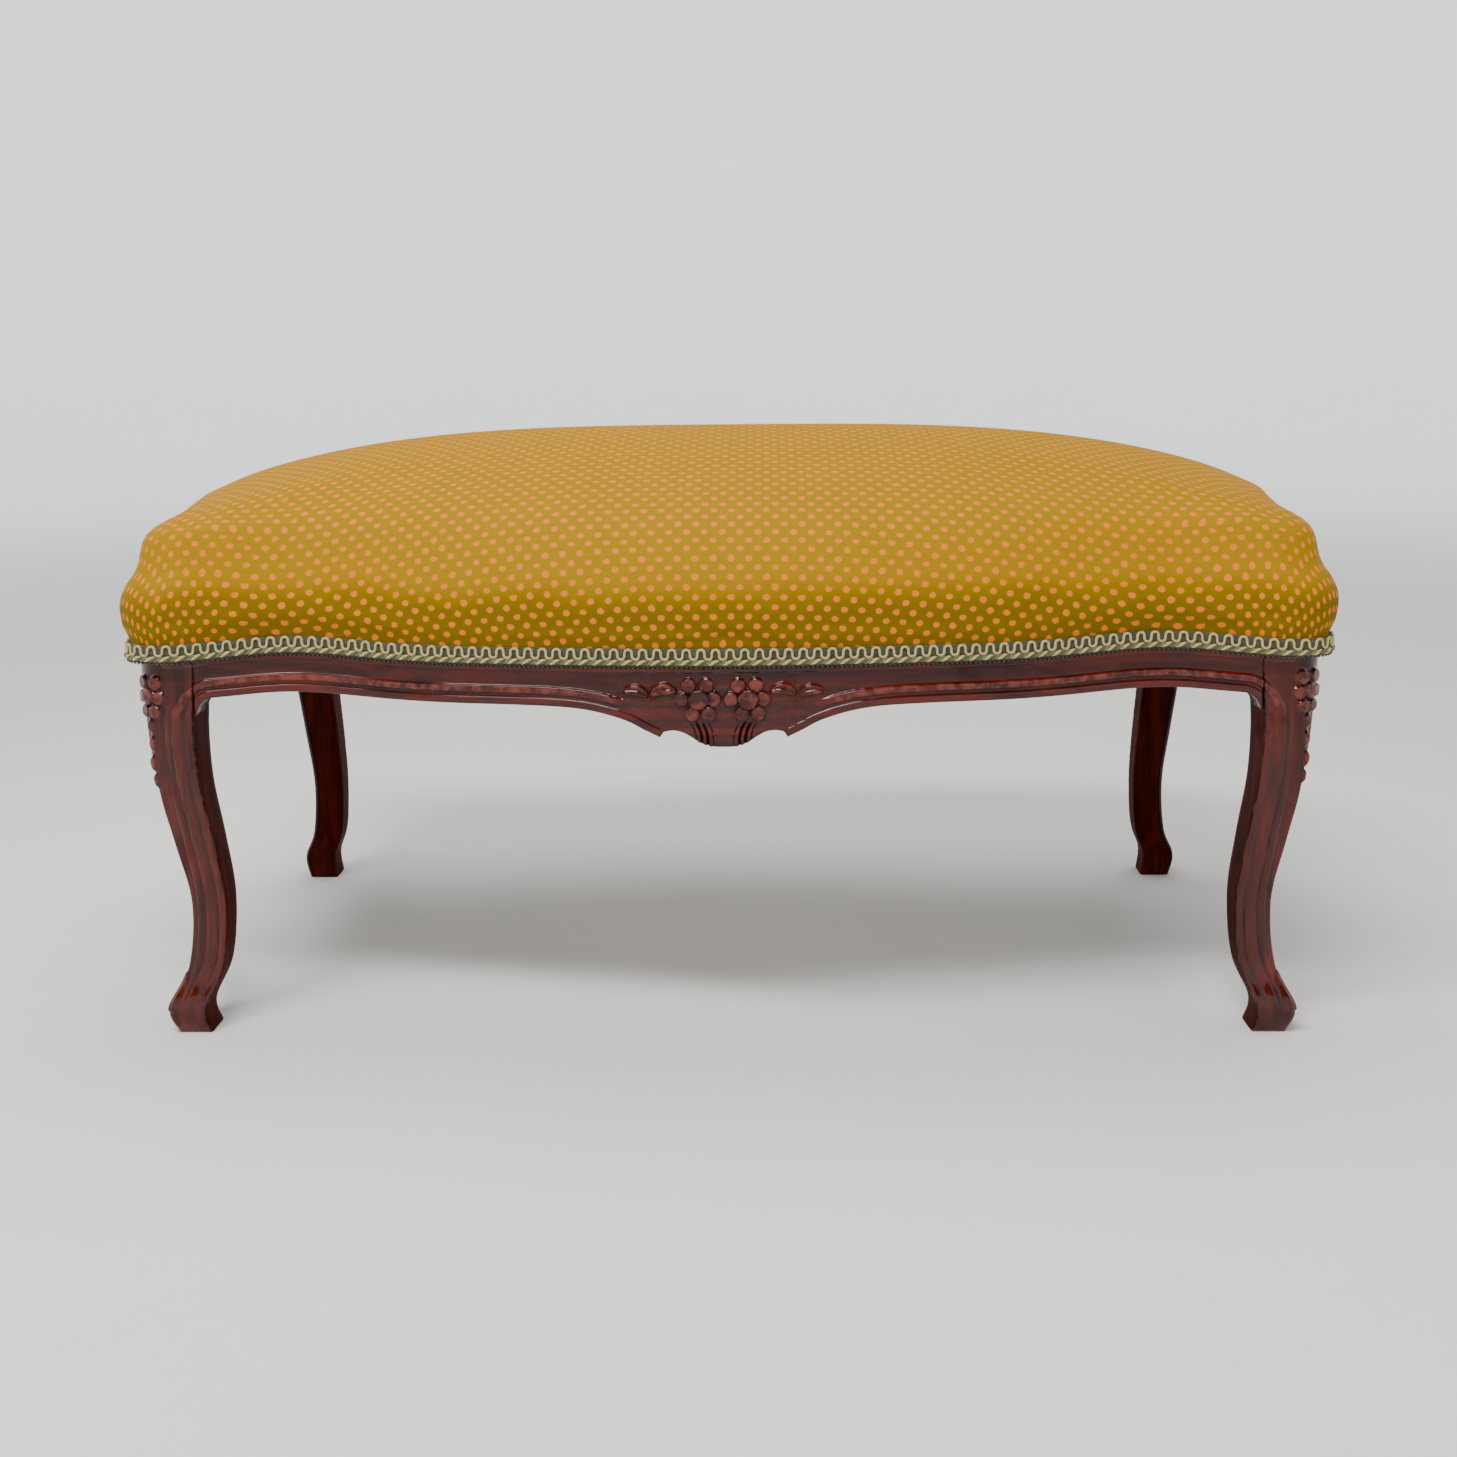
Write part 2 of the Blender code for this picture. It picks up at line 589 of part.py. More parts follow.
# ---------------------------------------------------------------- assembly
def main():
    clear_scene()
    parts = new_collection("bench")
    cutters = new_collection("cutters")
    materials = {name: make_material(name, *values) for name, values in MATERIALS.items()}
    loop = seat_loop()
    face = offset_loop(loop, -WOOD_INSET)
    inner_face = inset_loop(loop, WOOD_INSET + RAIL_THICKNESS)
    tack_face = offset_loop(loop, -WOOD_INSET - REBATE_DEPTH)
    surround = [(-0.6, -0.4), (0.6, -0.4), (0.6, 0.4), (-0.6, 0.4)]
    block_face = inset_loop(loop, WOOD_INSET + RAIL_THICKNESS + GAP)
    shared = {
        "wood_plan": prism("cut_wood_plan", [face], -0.05, 0.40, cutters),
        "rail_ring": prism("cut_rail_ring", [face, inner_face], 0.15, 0.40, cutters),
        "rebate": prism("cut_rebate", [surround, tack_face], SHOW_WOOD_TOP, 0.40, cutters),
        "inside_plan": prism("cut_inside_plan", [block_face], 0.15, 0.40, cutters),
    }
    for cutter in shared.values():
        as_cutter(cutter)

    for corner in CORNERS:
        finish(make_leg(corner, shared, parts, cutters), materials["mahogany"])
    rails = {}
    for name, side in (("front", -1), ("rear", 1)):
        rails[0, side] = finish(make_long_rail(name, side, shared, parts, cutters), materials["mahogany"])
    for name, side in (("left", -1), ("right", 1)):
        rails[1, side] = finish(make_end_rail(name, side, shared, parts, cutters), materials["mahogany"])
    for corner, (sx, sy) in CORNERS.items():
        block = finish(make_corner_block(corner, shared, parts, cutters), materials["beech"])
        for along, rail in ((0, rails[0, sy]), (1, rails[1, sx])):
            finish(make_screw(corner, along, [block, rail], parts, cutters), materials["steel"])

    strips, top = make_webbing(parts)
    for strip in strips:
        finish(strip, materials["webbing"])
    hessian = prism("hessian", [offset_loop(loop, -HESSIAN_INSET)], top, top + HESSIAN_THICKNESS, parts)
    finish(hessian, materials["hessian"])
    stuffing_base = top + HESSIAN_THICKNESS + GAP
    wadding_inset = COVER_THICKNESS + LAYER_GAP
    stuffing_inset = wadding_inset + WADDING_THICKNESS + LAYER_GAP
    stuffing = make_stuffing(stuffing_base, LAYERS_FROM, stuffing_inset, parts)
    finish(stuffing, materials["stuffing"])
    wadding = make_layer("wadding", LAYERS_FROM, wadding_inset, WADDING_THICKNESS, parts)
    finish(wadding, materials["wadding"])
    finish(make_layer("seat_cover", 0, 0.0, COVER_THICKNESS, parts), materials["jacquard"])
    finish(make_braid(parts), materials["braid"])


main()
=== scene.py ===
# %% [markdown]
# # An upholstered bench with a carved frame
#
# The bench is a long low seat on four bent legs. Its frame is dark polished mahogany with a moulding
# that runs under the seat, turns at each knee and goes down the leg, and a carved apron in the
# middle of each long rail. The seat is a domed pad under a mustard cloth with raised orange dots,
# and a woven gimp braid hides the tacked edge.
#
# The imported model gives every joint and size. This notebook puts the carved wood, the sewn cloth
# and the braid over it, piece by piece, and gives every piece its finish.

import math

import bmesh
import bpy
import numpy as np
from mathutils import Matrix, Vector


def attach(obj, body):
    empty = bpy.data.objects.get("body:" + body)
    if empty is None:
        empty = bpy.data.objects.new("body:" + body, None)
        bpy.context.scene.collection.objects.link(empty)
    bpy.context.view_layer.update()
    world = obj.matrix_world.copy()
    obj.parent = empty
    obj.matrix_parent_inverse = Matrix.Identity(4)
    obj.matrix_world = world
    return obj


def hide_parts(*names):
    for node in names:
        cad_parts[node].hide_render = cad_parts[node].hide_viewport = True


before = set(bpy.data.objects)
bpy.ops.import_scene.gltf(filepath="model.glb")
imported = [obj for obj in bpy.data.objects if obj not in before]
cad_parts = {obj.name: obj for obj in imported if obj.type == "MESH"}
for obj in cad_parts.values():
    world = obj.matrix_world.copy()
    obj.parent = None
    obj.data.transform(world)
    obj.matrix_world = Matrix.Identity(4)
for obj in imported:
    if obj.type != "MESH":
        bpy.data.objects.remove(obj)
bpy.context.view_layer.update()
node_names = sorted(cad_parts)

# %% [markdown]
# ## The camera
#
# The camera comes first, so that every later step can be looked at from where it will be judged. It
# stands about 1.4 m in front of the bench at seat height and looks slightly down. A direction and
# two turned axes are worked out from its pitch, turn and roll, and written straight into its matrix.

# %% Stand the camera in front of the bench
FOCAL_LENGTH = 40.62
CAMERA_PLACE = Vector((0.033, -1.412, 0.526))
PITCH, TURN, ROLL = math.radians(8.8), math.radians(-1.31), math.radians(0.58)

ahead = Vector((math.sin(TURN) * math.cos(PITCH), math.cos(TURN) * math.cos(PITCH), -math.sin(PITCH)))
level = Vector((math.cos(TURN), -math.sin(TURN), 0.0))
down = ahead.cross(level)
right = math.cos(ROLL) * level + math.sin(ROLL) * down
up = math.sin(ROLL) * level - math.cos(ROLL) * down

lens = bpy.data.cameras.new("camera")
lens.lens = FOCAL_LENGTH
lens.sensor_width = 36.0
lens.shift_x = -0.0017
lens.shift_y = -0.0882
camera = bpy.data.objects.new("camera", lens)
bpy.context.scene.collection.objects.link(camera)
turned = Matrix((right, up, -ahead)).transposed().to_4x4()
camera.matrix_world = Matrix.Translation(CAMERA_PLACE) @ turned
bpy.context.scene.camera = camera
print("camera looks along", [round(v, 3) for v in ahead])

# %% [markdown]
# ## Floor and light
#
# Polished wood shows its shape by what it mirrors, so the lights are soft panels: a long one high in
# front, which lights the shoulder of the seat most and draws bright lines along the ridges of the
# moulding, and a wide one overhead. The floor is a wide round sweep that rises into a wall far off, so
# the bench has a pale surround from every side; a full spin of one outline makes it.

# %% Lay the floor and hang the lights
def panel_light(name, place, target, size, power, colour):
    lamp = bpy.data.lights.new(name, "AREA")
    lamp.shape = "RECTANGLE"
    lamp.size, lamp.size_y = size
    lamp.energy = power
    lamp.color = colour
    thing = bpy.data.objects.new(name, lamp)
    bpy.context.scene.collection.objects.link(thing)
    aim = (Vector(target) - Vector(place)).to_track_quat("-Z", "Y")
    thing.matrix_world = Matrix.Translation(place) @ aim.to_matrix().to_4x4()
    return thing


panel_light("key_panel", (-0.55, -1.30, 2.35), (0.0, -0.05, 0.30), (1.6, 0.36), 66, (1.0, 0.99, 0.97))
panel_light("sky_panel", (0.0, 0.55, 2.40), (0.0, 0.05, 0.30), (2.6, 1.5), 40, (1.0, 0.99, 0.97))

room = bpy.data.worlds.new("pale_room")
room.use_nodes = True
room.node_tree.nodes["Background"].inputs["Color"].default_value = (0.93, 0.94, 0.96, 1.0)
room.node_tree.nodes["Background"].inputs["Strength"].default_value = 0.08
bpy.context.scene.world = room

SWEEP = [(0.0, 0.0), (2.0, 0.0), (4.0, 0.0), (4.8, 0.06), (5.4, 0.28), (5.8, 0.70), (6.0, 1.30), (6.0, 3.60)]
bm = bmesh.new()
outline = [bm.verts.new((far, 0.0, tall - 0.0005)) for far, tall in SWEEP]
for inner_point, outer_point in zip(outline, outline[1:]):
    bm.edges.new((inner_point, outer_point))
bmesh.ops.spin(bm, geom=list(bm.verts) + list(bm.edges), cent=(0, 0, 0), axis=(0, 0, 1), angle=2 * math.pi,
               steps=64, use_merge=True)
bmesh.ops.remove_doubles(bm, verts=bm.verts, dist=0.0001)
bmesh.ops.recalc_face_normals(bm, faces=bm.faces)
floor_mesh = bpy.data.meshes.new("floor")
bm.to_mesh(floor_mesh)
bm.free()
floor_mesh.shade_smooth()
floor = bpy.data.objects.new("floor", floor_mesh)
bpy.context.scene.collection.objects.link(floor)

# %% [markdown]
# ## Writing shader sums
#
# A pattern such as a dotted weave is a sum on coordinates. Node by node it would be long and hard to
# read, so a small class stands for a socket, and adding or multiplying it makes the Math node.

# %% A socket that sums can be written with
class Wire:
    """One socket of a material. An operator on it adds the Math node and gives that node's result."""

    def __init__(self, finish, socket):
        self.finish = finish
        self.socket = socket

    def sum(self, operation, *values):
        return self.finish.node("ShaderNodeMath", {"operation": operation}, list(values))

    def __add__(self, other):
        return self.sum("ADD", self, other)

    def __sub__(self, other):
        return self.sum("SUBTRACT", self, other)

    def __mul__(self, other):
        return self.sum("MULTIPLY", self, other)

    def __truediv__(self, other):
        return self.sum("DIVIDE", self, other)

    def __radd__(self, other):
        return self.sum("ADD", other, self)

    def __rsub__(self, other):
        return self.sum("SUBTRACT", other, self)

    def __rmul__(self, other):
        return self.sum("MULTIPLY", other, self)

    def power(self, other):
        return self.sum("POWER", self, other)

    def fraction(self):
        return self.sum("FRACT", self)

    def sine(self):
        return self.sum("SINE", self)

    def size(self):
        return self.sum("ABSOLUTE", self)

    def top(self, other):
        return self.sum("MAXIMUM", self, other)

    def step(self, low, high):
        """Rises smoothly from 0 at low to 1 at high; low may be the greater."""
        return self.finish.node("ShaderNodeMapRange", {"interpolation_type": "SMOOTHSTEP"},
                                {"Value": self, "From Min": low, "From Max": high})


class Finish:
    """A material being built: it adds nodes and joins them."""

    def __init__(self, name):
        self.material = bpy.data.materials.new(name)
        self.material.use_nodes = True
        self.tree = self.material.node_tree
        self.shader = self.tree.nodes["Principled BSDF"]

    def node(self, kind, settings, values, output=0):
        """Adds a node: its settings first, then a number, colour or Wire for each socket."""
        made = self.tree.nodes.new(kind)
        for name, value in settings.items():
            if name == "stops":
                ramp = made.color_ramp
                while len(ramp.elements) < len(value):
                    ramp.elements.new(0.5)
                for element, (place, colour) in zip(ramp.elements, value):
                    element.position = place
                    element.color = (*colour, 1.0)
            else:
                setattr(made, name, value)
        pairs = values.items() if isinstance(values, dict) else enumerate(values)
        for name, value in pairs:
            self.join(made.inputs[name], value)
        return Wire(self, made.outputs[output])

    def join(self, socket, value):
        if isinstance(value, Wire):
            self.tree.links.new(value.socket, socket)
        elif isinstance(value, tuple) and len(value) == 3 and socket.type == "RGBA":
            socket.default_value = (*value, 1.0)
        else:
            socket.default_value = value

    def place(self, scale=(1.0, 1.0, 1.0), turn=(0.0, 0.0, 0.0)):
        """Object coordinates, in metres times the scale."""
        spot = self.node("ShaderNodeTexCoord", {}, {}, "Object")
        return self.node("ShaderNodeMapping", {}, {"Vector": spot, "Scale": scale, "Rotation": turn})

    def noise(self, where, scale, detail=3.0, rough=0.55, output="Fac"):
        return self.node("ShaderNodeTexNoise", {}, {"Vector": where, "Scale": scale, "Detail": detail,
                                                    "Roughness": rough}, output)

    def mix(self, share, first, second, blend="MIX"):
        """Mixes two colours; the colour sockets of this node are the seventh and eighth."""
        made = self.node("ShaderNodeMix", {"data_type": "RGBA", "blend_type": blend}, {}, 2)
        node = made.socket.node
        self.join(node.inputs[0], share)
        self.join(node.inputs[6], first)
        self.join(node.inputs[7], second)
        return made

    def attribute(self, name, output="Fac"):
        return self.node("ShaderNodeAttribute", {"attribute_name": name}, {}, output)

    def parts(self, vector):
        split = self.node("ShaderNodeSeparateXYZ", {}, [vector])
        return [Wire(self, split.socket.node.outputs[i]) for i in range(3)]

    def bump(self, height, distance, strength=1.0):
        return self.node("ShaderNodeBump", {}, {"Height": height, "Distance": distance,
                                                "Strength": strength})

    def done(self, **values):
        """Sets the shader's sockets: fixed numbers, or what varies over the surface."""
        for name, value in values.items():
            self.join(self.shader.inputs[name.replace("_", " ")], value)
        return self.material


print("sums are ready")

# %% [markdown]
# ## The floor's finish
#
# Even a plain floor has a slight unevenness. It is kept very pale, so the bench stands clear, and far
# off, where the lamps don't reach, the sweep glows a little by itself.

# %% Finish the floor
pale = Finish("pale_floor")
drift = pale.noise(pale.place(), 3.0)
floor_colour = pale.mix(drift, (0.80, 0.80, 0.79), (0.85, 0.85, 0.84))
far_x, far_y, _ = pale.parts(pale.place())
far_off = (far_x * far_x + far_y * far_y).power(0.5)
glow = pale.mix(far_off.step(1.2, 5.4), (0.0, 0.0, 0.0), (0.76, 0.77, 0.78))
floor.data.materials.append(pale.done(Base_Color=floor_colour, Roughness=0.8, Specular_IOR_Level=0.1,
                                      Emission_Color=glow, Emission_Strength=1.0))
print("floor finished")

# %% [markdown]
# ## Mahogany
#
# The wood is stained deep red-brown and French polished. The grooves go nearly black: partly the
# staining and old polish that gather there, partly painted shade. The unpolished back and inner faces
# are painted darker as shade too. The ridges are painted lighter, partly rubbed wear and partly a
# painted highlight. A number written on each carved mesh, its relief, tells the finish how high each
# spot stands. Long streaks of noise along the wood are the grain, and a clear coat over a rougher
# base gives the sharp reflections of varnish.

# %% Finish the mahogany, for grain that runs along one axis
def make_mahogany(name, along):
    wood = Finish(name)
    stretch = [95.0, 95.0, 95.0]
    stretch[along] = 5.0
    lengthwise = wood.place(tuple(stretch))
    grain = wood.noise(lengthwise, 1.0, 5.0, 0.6)
    fine = wood.noise(wood.place(tuple(value * 7 for value in stretch)), 1.0, 2.0)
    broad = wood.noise(wood.place(), 9.0, 3.0)
    relief = wood.attribute("relief")
    colour = wood.mix(grain.step(0.35, 0.68), (0.026, 0.0016, 0.0006), (0.098, 0.0068, 0.0019))
    colour = wood.mix(broad.step(0.40, 0.75) * 0.5, colour, (0.056, 0.0030, 0.0011))
    # Painted shade: the grooves go nearly black, partly real staining and old polish, partly shade painted
    # in; the unpolished faces are painted darker as shade.
    old_polish_and_painted_shade = relief.step(0.02, -0.62) * (0.94 - relief.step(-0.9, -1.2) * 0.55)
    colour = wood.mix(old_polish_and_painted_shade, colour, (0.0050, 0.0008, 0.0005))
    # Painted highlight with real wear: the high ridges take a lighter pink colour, partly rubbed wear and
    # partly a painted highlight.
    wear_and_painted_highlight = relief.step(0.55, 1.1) * wood.noise(wood.place(), 140.0, 4.0).step(0.42, 0.62)
    colour = wood.mix(wear_and_painted_highlight * 0.40, colour, (0.290, 0.062, 0.036))
    dull = wood.noise(wood.place(), 33.0, 5.0, 0.65).step(0.55, 0.72)
    rough = 0.26 + dull * 0.16 + fine * 0.05 + relief.step(-0.7, -1.1) * 0.3
    uneven = wood.noise(wood.place(), 75.0, 3.0) * 0.6 + fine * 0.12 + grain * 0.10
    polish = relief.step(-0.75, -0.14) * (1 - dull * 0.5)
    return wood.done(Base_Color=colour, Roughness=rough, Coat_Weight=polish, Coat_Roughness=0.09,
                     Coat_IOR=1.40, Specular_IOR_Level=0.03, Normal=wood.bump(uneven, 0.0006, 0.55))


upright_mahogany = make_mahogany("mahogany_upright", 2)
long_mahogany = make_mahogany("mahogany_long", 0)
end_mahogany = make_mahogany("mahogany_end", 1)
print("mahogany:", upright_mahogany.name, long_mahogany.name, end_mahogany.name)

# %% [markdown]
# ## The outline that everything follows
#
# Seen from above, the seat's edge is a serpentine: it swells in the middle of each side and draws in
# before each corner. One quarter of it is written down and mirrored, and a smooth curve is taken
# through the points. The wood, the cloth and the braid all follow this line, a set distance off.

# %% Draw the seat's edge
SEAT_QUARTER = [
    (0.000, 0.247), (0.100, 0.242), (0.195, 0.230), (0.275, 0.213), (0.335, 0.205), (0.378, 0.211),
    (0.413, 0.217), (0.440, 0.207), (0.453, 0.178), (0.448, 0.125), (0.457, 0.060), (0.470, 0.000),
]
EDGE_STEPS = 8


def through(points, steps, closed=False):
    """A smooth line through points of any number of coordinates."""
    points = np.asarray(points, float)
    if closed:
        ends = np.concatenate([points[-1:], points, points[:2]])
    else:
        ends = np.concatenate([points[:1], points, points[-1:]])
    t = (np.arange(steps) / steps).reshape((-1,) + (1,) * (points.ndim - 1))
    line = []
    for a, b, c, d in zip(ends, ends[1:], ends[2:], ends[3:]):
        line.append(0.5 * (2 * b + (c - a) * t + (2 * a - 5 * b + 4 * c - d) * t ** 2
                           + (3 * b - a - 3 * c + d) * t ** 3))
    line = np.concatenate(line)
    return line if closed else np.concatenate([line, points[-1:]])


def draw_edge():
    quarter = SEAT_QUARTER
    front_right = [(x, -y) for x, y in quarter]
    rear_right = [(x, y) for x, y in reversed(quarter[:-1])]
    rear_left = [(-x, y) for x, y in quarter[1:]]
    front_left = [(-x, -y) for x, y in reversed(quarter[1:-1])]
    return through(front_right + rear_right + rear_left + front_left, EDGE_STEPS, closed=True)


def outward(loop):
    """The direction straight out from each point of a loop, in plan."""
    side = np.roll(loop, -1, axis=0) - np.roll(loop, 1, axis=0)
    side /= np.linalg.norm(side, axis=1, keepdims=True)
    return np.stack([side[:, 1], -side[:, 0]], axis=1)


def moved_out(loop, distance):
    return loop + outward(loop) * distance


edge = draw_edge()
edge_lengths = np.linalg.norm(np.roll(edge, -1, axis=0) - edge, axis=1)
EDGE_LENGTH = float(edge_lengths.sum())


def corner_padding(loop):
    """How far the folded cover stands out over each corner, as a push in plan."""
    away = np.hypot(np.abs(loop[:, 0]) - 0.440, np.abs(loop[:, 1]) - 0.205)
    return outward(loop) * (0.008 * np.exp(-(away / 0.045) ** 2))[:, None]


print("points on the edge:", len(edge), "length round:", round(EDGE_LENGTH, 3), "m")

# %% [markdown]
# ## From a flat grid to a shaped piece
#
# Carving is a surface that stands out from its board by a different amount at every spot. A fine
# flat grid is made, each of its points is given its column and its row, and a table of places
# then moves every point to where it belongs. The same helper serves rails, legs and seat.

# %% Helpers that lay a grid on a table of places
def counted_grid(columns, rows):
    """A grid whose points stand at whole numbers: x counts the columns and y the rows."""
    bm = bmesh.new()
    bmesh.ops.create_grid(bm, x_segments=columns, y_segments=rows, size=1.0)
    for point in bm.verts:
        point.co.x = round((point.co.x + 1) / 2 * columns)
        point.co.y = round((point.co.y + 1) / 2 * rows)
    return bm


def lay(bm, places, numbers=None, label="relief"):
    """Moves each counted point to places[layer, row, column], and writes its number on it."""
    tag = bm.verts.layers.float.new(label) if numbers is not None else None
    for point in bm.verts:
        column, row, layer = (int(round(value)) for value in point.co)
        if tag is not None:
            point[tag] = float(numbers[layer, row, column])
        point.co = places[layer, row, column]


def made_piece(bm, name, finish, weld=0.00002):
    """Welds, turns the faces outwards and makes the smooth-shaded object, riding on the frame."""
    bmesh.ops.remove_doubles(bm, verts=bm.verts, dist=weld)
    bmesh.ops.recalc_face_normals(bm, faces=bm.faces)
    mesh = bpy.data.meshes.new(name)
    bm.to_mesh(mesh)
    bm.free()
    mesh.shade_smooth()
    mesh.materials.append(finish)
    piece = bpy.data.objects.new(name, mesh)
    bpy.context.scene.collection.objects.link(piece)
    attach(piece, "root")
    return piece


def hump(where, middle, half):
    """A rounded ridge: 1 at its middle, 0 at a half width to either side."""
    return np.sqrt(np.clip(1 - ((where - middle) / half) ** 2, 0, None))


def ease(where, low, high):
    t = np.clip((where - low) / (high - low), 0, 1)
    return t * t * (3 - 2 * t)


def line_distance(line, x, z):
    """Distance from each spot to an open line, and how far past the line's end it lies."""
    nearest = np.full(x.shape, np.inf)
    for (ax, az), (bx, bz) in zip(line, line[1:]):
        dx, dz = bx - ax, bz - az
        t = np.clip(((x - ax) * dx + (z - az) * dz) / (dx * dx + dz * dz), 0, 1)
        nearest = np.minimum(nearest, np.hypot(x - ax - t * dx, z - az - t * dz))
    (ax, az), (bx, bz) = line[-2:]
    past = ((x - bx) * (bx - ax) + (z - bz) * (bz - az)) / math.hypot(bx - ax, bz - az)
    return nearest, past


print("helpers ready")

# %% [markdown]
# ## The moulding
#
# A plane iron cut the moulding, so its section is the same all along: from the lower edge up a round
# bead, two fine grooves with a thread between them, a broad ridge, a hollow, and a small flat under
# the braid. On the leg the hollow narrows to a deep groove with one more bead beside it. Each
# section is a function of the distance from the lower edge, so it turns the corner by itself.

# %% Sections of the moulding, in millimetres
# Relief number for the unpolished back and inner faces: the finish makes them dull and paints them darker as
# shade.
UNPOLISHED_PAINTED_SHADE = -1.3


def rail_section(low, high):
    """Relief on a rail: low is the distance from its lower edge, high the distance from its top."""
    relief = 1.5 * hump(low, 3.0, 3.1) - 0.3
    relief = np.where(low > 6.0, -0.9 + 0.9 * hump(low, 7.2, 0.75), relief)
    ridge = 2.7 * hump(low, 11.6, 3.6) - 0.4
    relief = np.where(low > 8.2, np.maximum(ridge, -0.4), relief)
    hollow = -0.4 - 1.7 * hump(high, 8.2, 4.8) + 0.9 * ease(high, 4.0, 2.6)
    return np.where(low > 14.6, np.where(high < 13.0, hollow, -0.4), relief)


def leg_section(low):
    """Relief on a leg, by the distance from its inner edge."""
    relief = 1.1 * hump(low, 3.2, 3.4) ** 2 - 0.2
    relief = np.where(low > 6.3, -0.8, relief)
    relief = np.where(low > 7.1, 1.5 * hump(low, 11.8, 5.0) - 0.3, relief)
    relief = np.where(low > 16.2, -1.5 * hump(low, 17.3, 1.1) - 0.2, relief)
    relief = np.where(low > 18.4, 1.1 * hump(low, 20.4, 2.0) - 0.2, relief)
    return np.where(low > 22.4, -0.5 * hump(low, 22.9, 0.6), relief)


print("section runs from", round(float(rail_section(np.array(0.0), np.array(28.0))), 2), "mm")

# %% [markdown]
# ## The apron and its carving
#
# The lower edge of a long rail drops into an apron: two moulded arms that end in a cut, and a tongue
# between them. Above the tongue are two round flowers, a leaf scroll at either side, and flutes on
# the tongue. A carver leaves each petal as a low round button with steep sides, so each is a button
# on the relief, and where two overlap the higher one wins.

# %% The lower edge of a long rail
RAIL_TOP, SHOW_WOOD_TOP, RAIL_UNDERSIDE = 0.330, 0.295, 0.2665
WOOD_INSET, REBATE_DEPTH, RAIL_THICKNESS = 0.004, 0.0025, 0.028
POST_X, POST_Y, CORNER_RADIUS, GAP = 0.3985, 0.1715, 0.013, 0.0003
END_ARCH = 0.005
ARM = [(0.160, 0.2665), (0.120, 0.2655), (0.095, 0.2625), (0.072, 0.2560), (0.058, 0.2490),
       (0.0465, 0.2435)]
TONGUE = [(0.0440, 0.2474), (0.0380, 0.2486), (0.0310, 0.2476), (0.0240, 0.2440), (0.0165, 0.2392),
          (0.0080, 0.2367), (0.0000, 0.2364), (-0.0080, 0.2367)]


def lift(x):
    """How far the braid line and the rail's lower edge rise where the seat draws in."""
    return 0.0042 * np.exp(-((np.abs(x) - 0.322) / 0.058) ** 2)


turns = np.radians(np.linspace(0, 88, 12))
fillet = np.stack([POST_X - GAP - CORNER_RADIUS + CORNER_RADIUS * np.sin(turns),
                   RAIL_UNDERSIDE - CORNER_RADIUS + CORNER_RADIUS * np.cos(turns)], axis=1)
straight = np.stack([np.linspace(0.170, 0.380, 30), np.full(30, RAIL_UNDERSIDE)], axis=1)
arm_line = through(ARM[::-1], 6)
tongue_line = through(TONGUE[::-1], 6)[6:]
under_line = np.concatenate([tongue_line, arm_line, straight, fillet])
under_line[:, 1] += lift(under_line[:, 0])
moulded_line = np.concatenate([arm_line, straight, fillet])[::-1].copy()
moulded_line[:, 1] += lift(moulded_line[:, 0])
print("lower edge:", len(under_line), "points, lowest", round(float(under_line[:, 1].min()), 4))

# %% The carving, as buttons and flutes in millimetres
FLOWERS = [(-18.0, 272.0), (18.0, 272.0)]
PETALS = [(-7.2, 10.2), (5.6, 10.4), (-12.4, 0.0), (10.8, 0.3), (-4.6, -10.8), (7.2, -10.6)]
SCROLLS = [(44.0, 278.6, 10.2, 4.6, -8), (63.5, 277.4, 9.6, 4.4, 12)]


def button(x, z, place, radius, height, dish=0.16):
    """A low round button with steep sides and a slightly dished face."""
    away = np.hypot(x - place[0], z - place[1])
    hollow = dish * np.clip(1 - (away / radius) ** 2, 0, 1)
    return height * ease(away, radius + 0.5, radius - 0.5) * (1 - hollow)


def carve_apron(x, z, ground):
    """Adds the flowers, scrolls and flutes to the relief of a long rail."""
    relief = ground
    for fx, fz in FLOWERS:
        for px, pz in PETALS:
            away = np.hypot(x - fx - px, z - fz - pz)
            relief = relief - 1.4 * hump(away, 6.3, 1.5) * (relief < 1.0)
            relief = np.maximum(relief, button(x, z, (fx + px, fz + pz), 5.3, 3.4) - 0.5)
        dish = np.hypot(x - fx, z - fz)
        middle = button(x, z, (fx, fz), 7.2, 5.2, 0.0) - 0.5 - 0.9 * ease(dish, 6.0, 5.4)
        relief = np.where(dish < 7.8, np.maximum(middle, -1.3), relief)
    for cx, cz, long, tall, tilt in SCROLLS:
        turn = math.radians(tilt)
        for side in (-1, 1):
            dx, dz = side * x - cx, z - cz
            across = dx * math.cos(turn) + dz * math.sin(turn)
            over = dz * math.cos(turn) - dx * math.sin(turn) + 0.030 * across ** 2 - 1.0
            away = np.hypot(across / long, over / tall)
            relief = relief - 1.2 * hump(away, 1.20, 0.22) * (relief < 1.0)
            leaf = 3.4 * ease(away, 1.08, 0.80) - 1.2 * hump(over, 0.6, 1.0) * (away < 0.85) - 0.5
            relief = np.maximum(relief, leaf)
    spread = np.abs(x) - 7.0 - 9.0 * ((z - 240.5) / 21.0) ** 2
    flute = 2.6 * hump((spread % 4.4), 2.2, 1.75) - 1.7
    on_tongue = (spread > 0) & (spread < 13.2) & (np.abs(x) < 34) & (relief < 0.6)
    fade = ease(z, 257.5, 252.0) * on_tongue
    return relief * (1 - fade) + np.minimum(flute, 0.9) * fade


print("buttons per apron:", len(FLOWERS) * (len(PETALS) + 1), "scrolls:", 2 * len(SCROLLS))

# %% [markdown]
# ## Long rails
#
# The face of the rail is a fine grid, finest where it is carved. Its lower and upper edges are
# extruded back and bridged to close the board. The front and the rear rail are the same, because a
# bench that stands free in a room is finished all round.

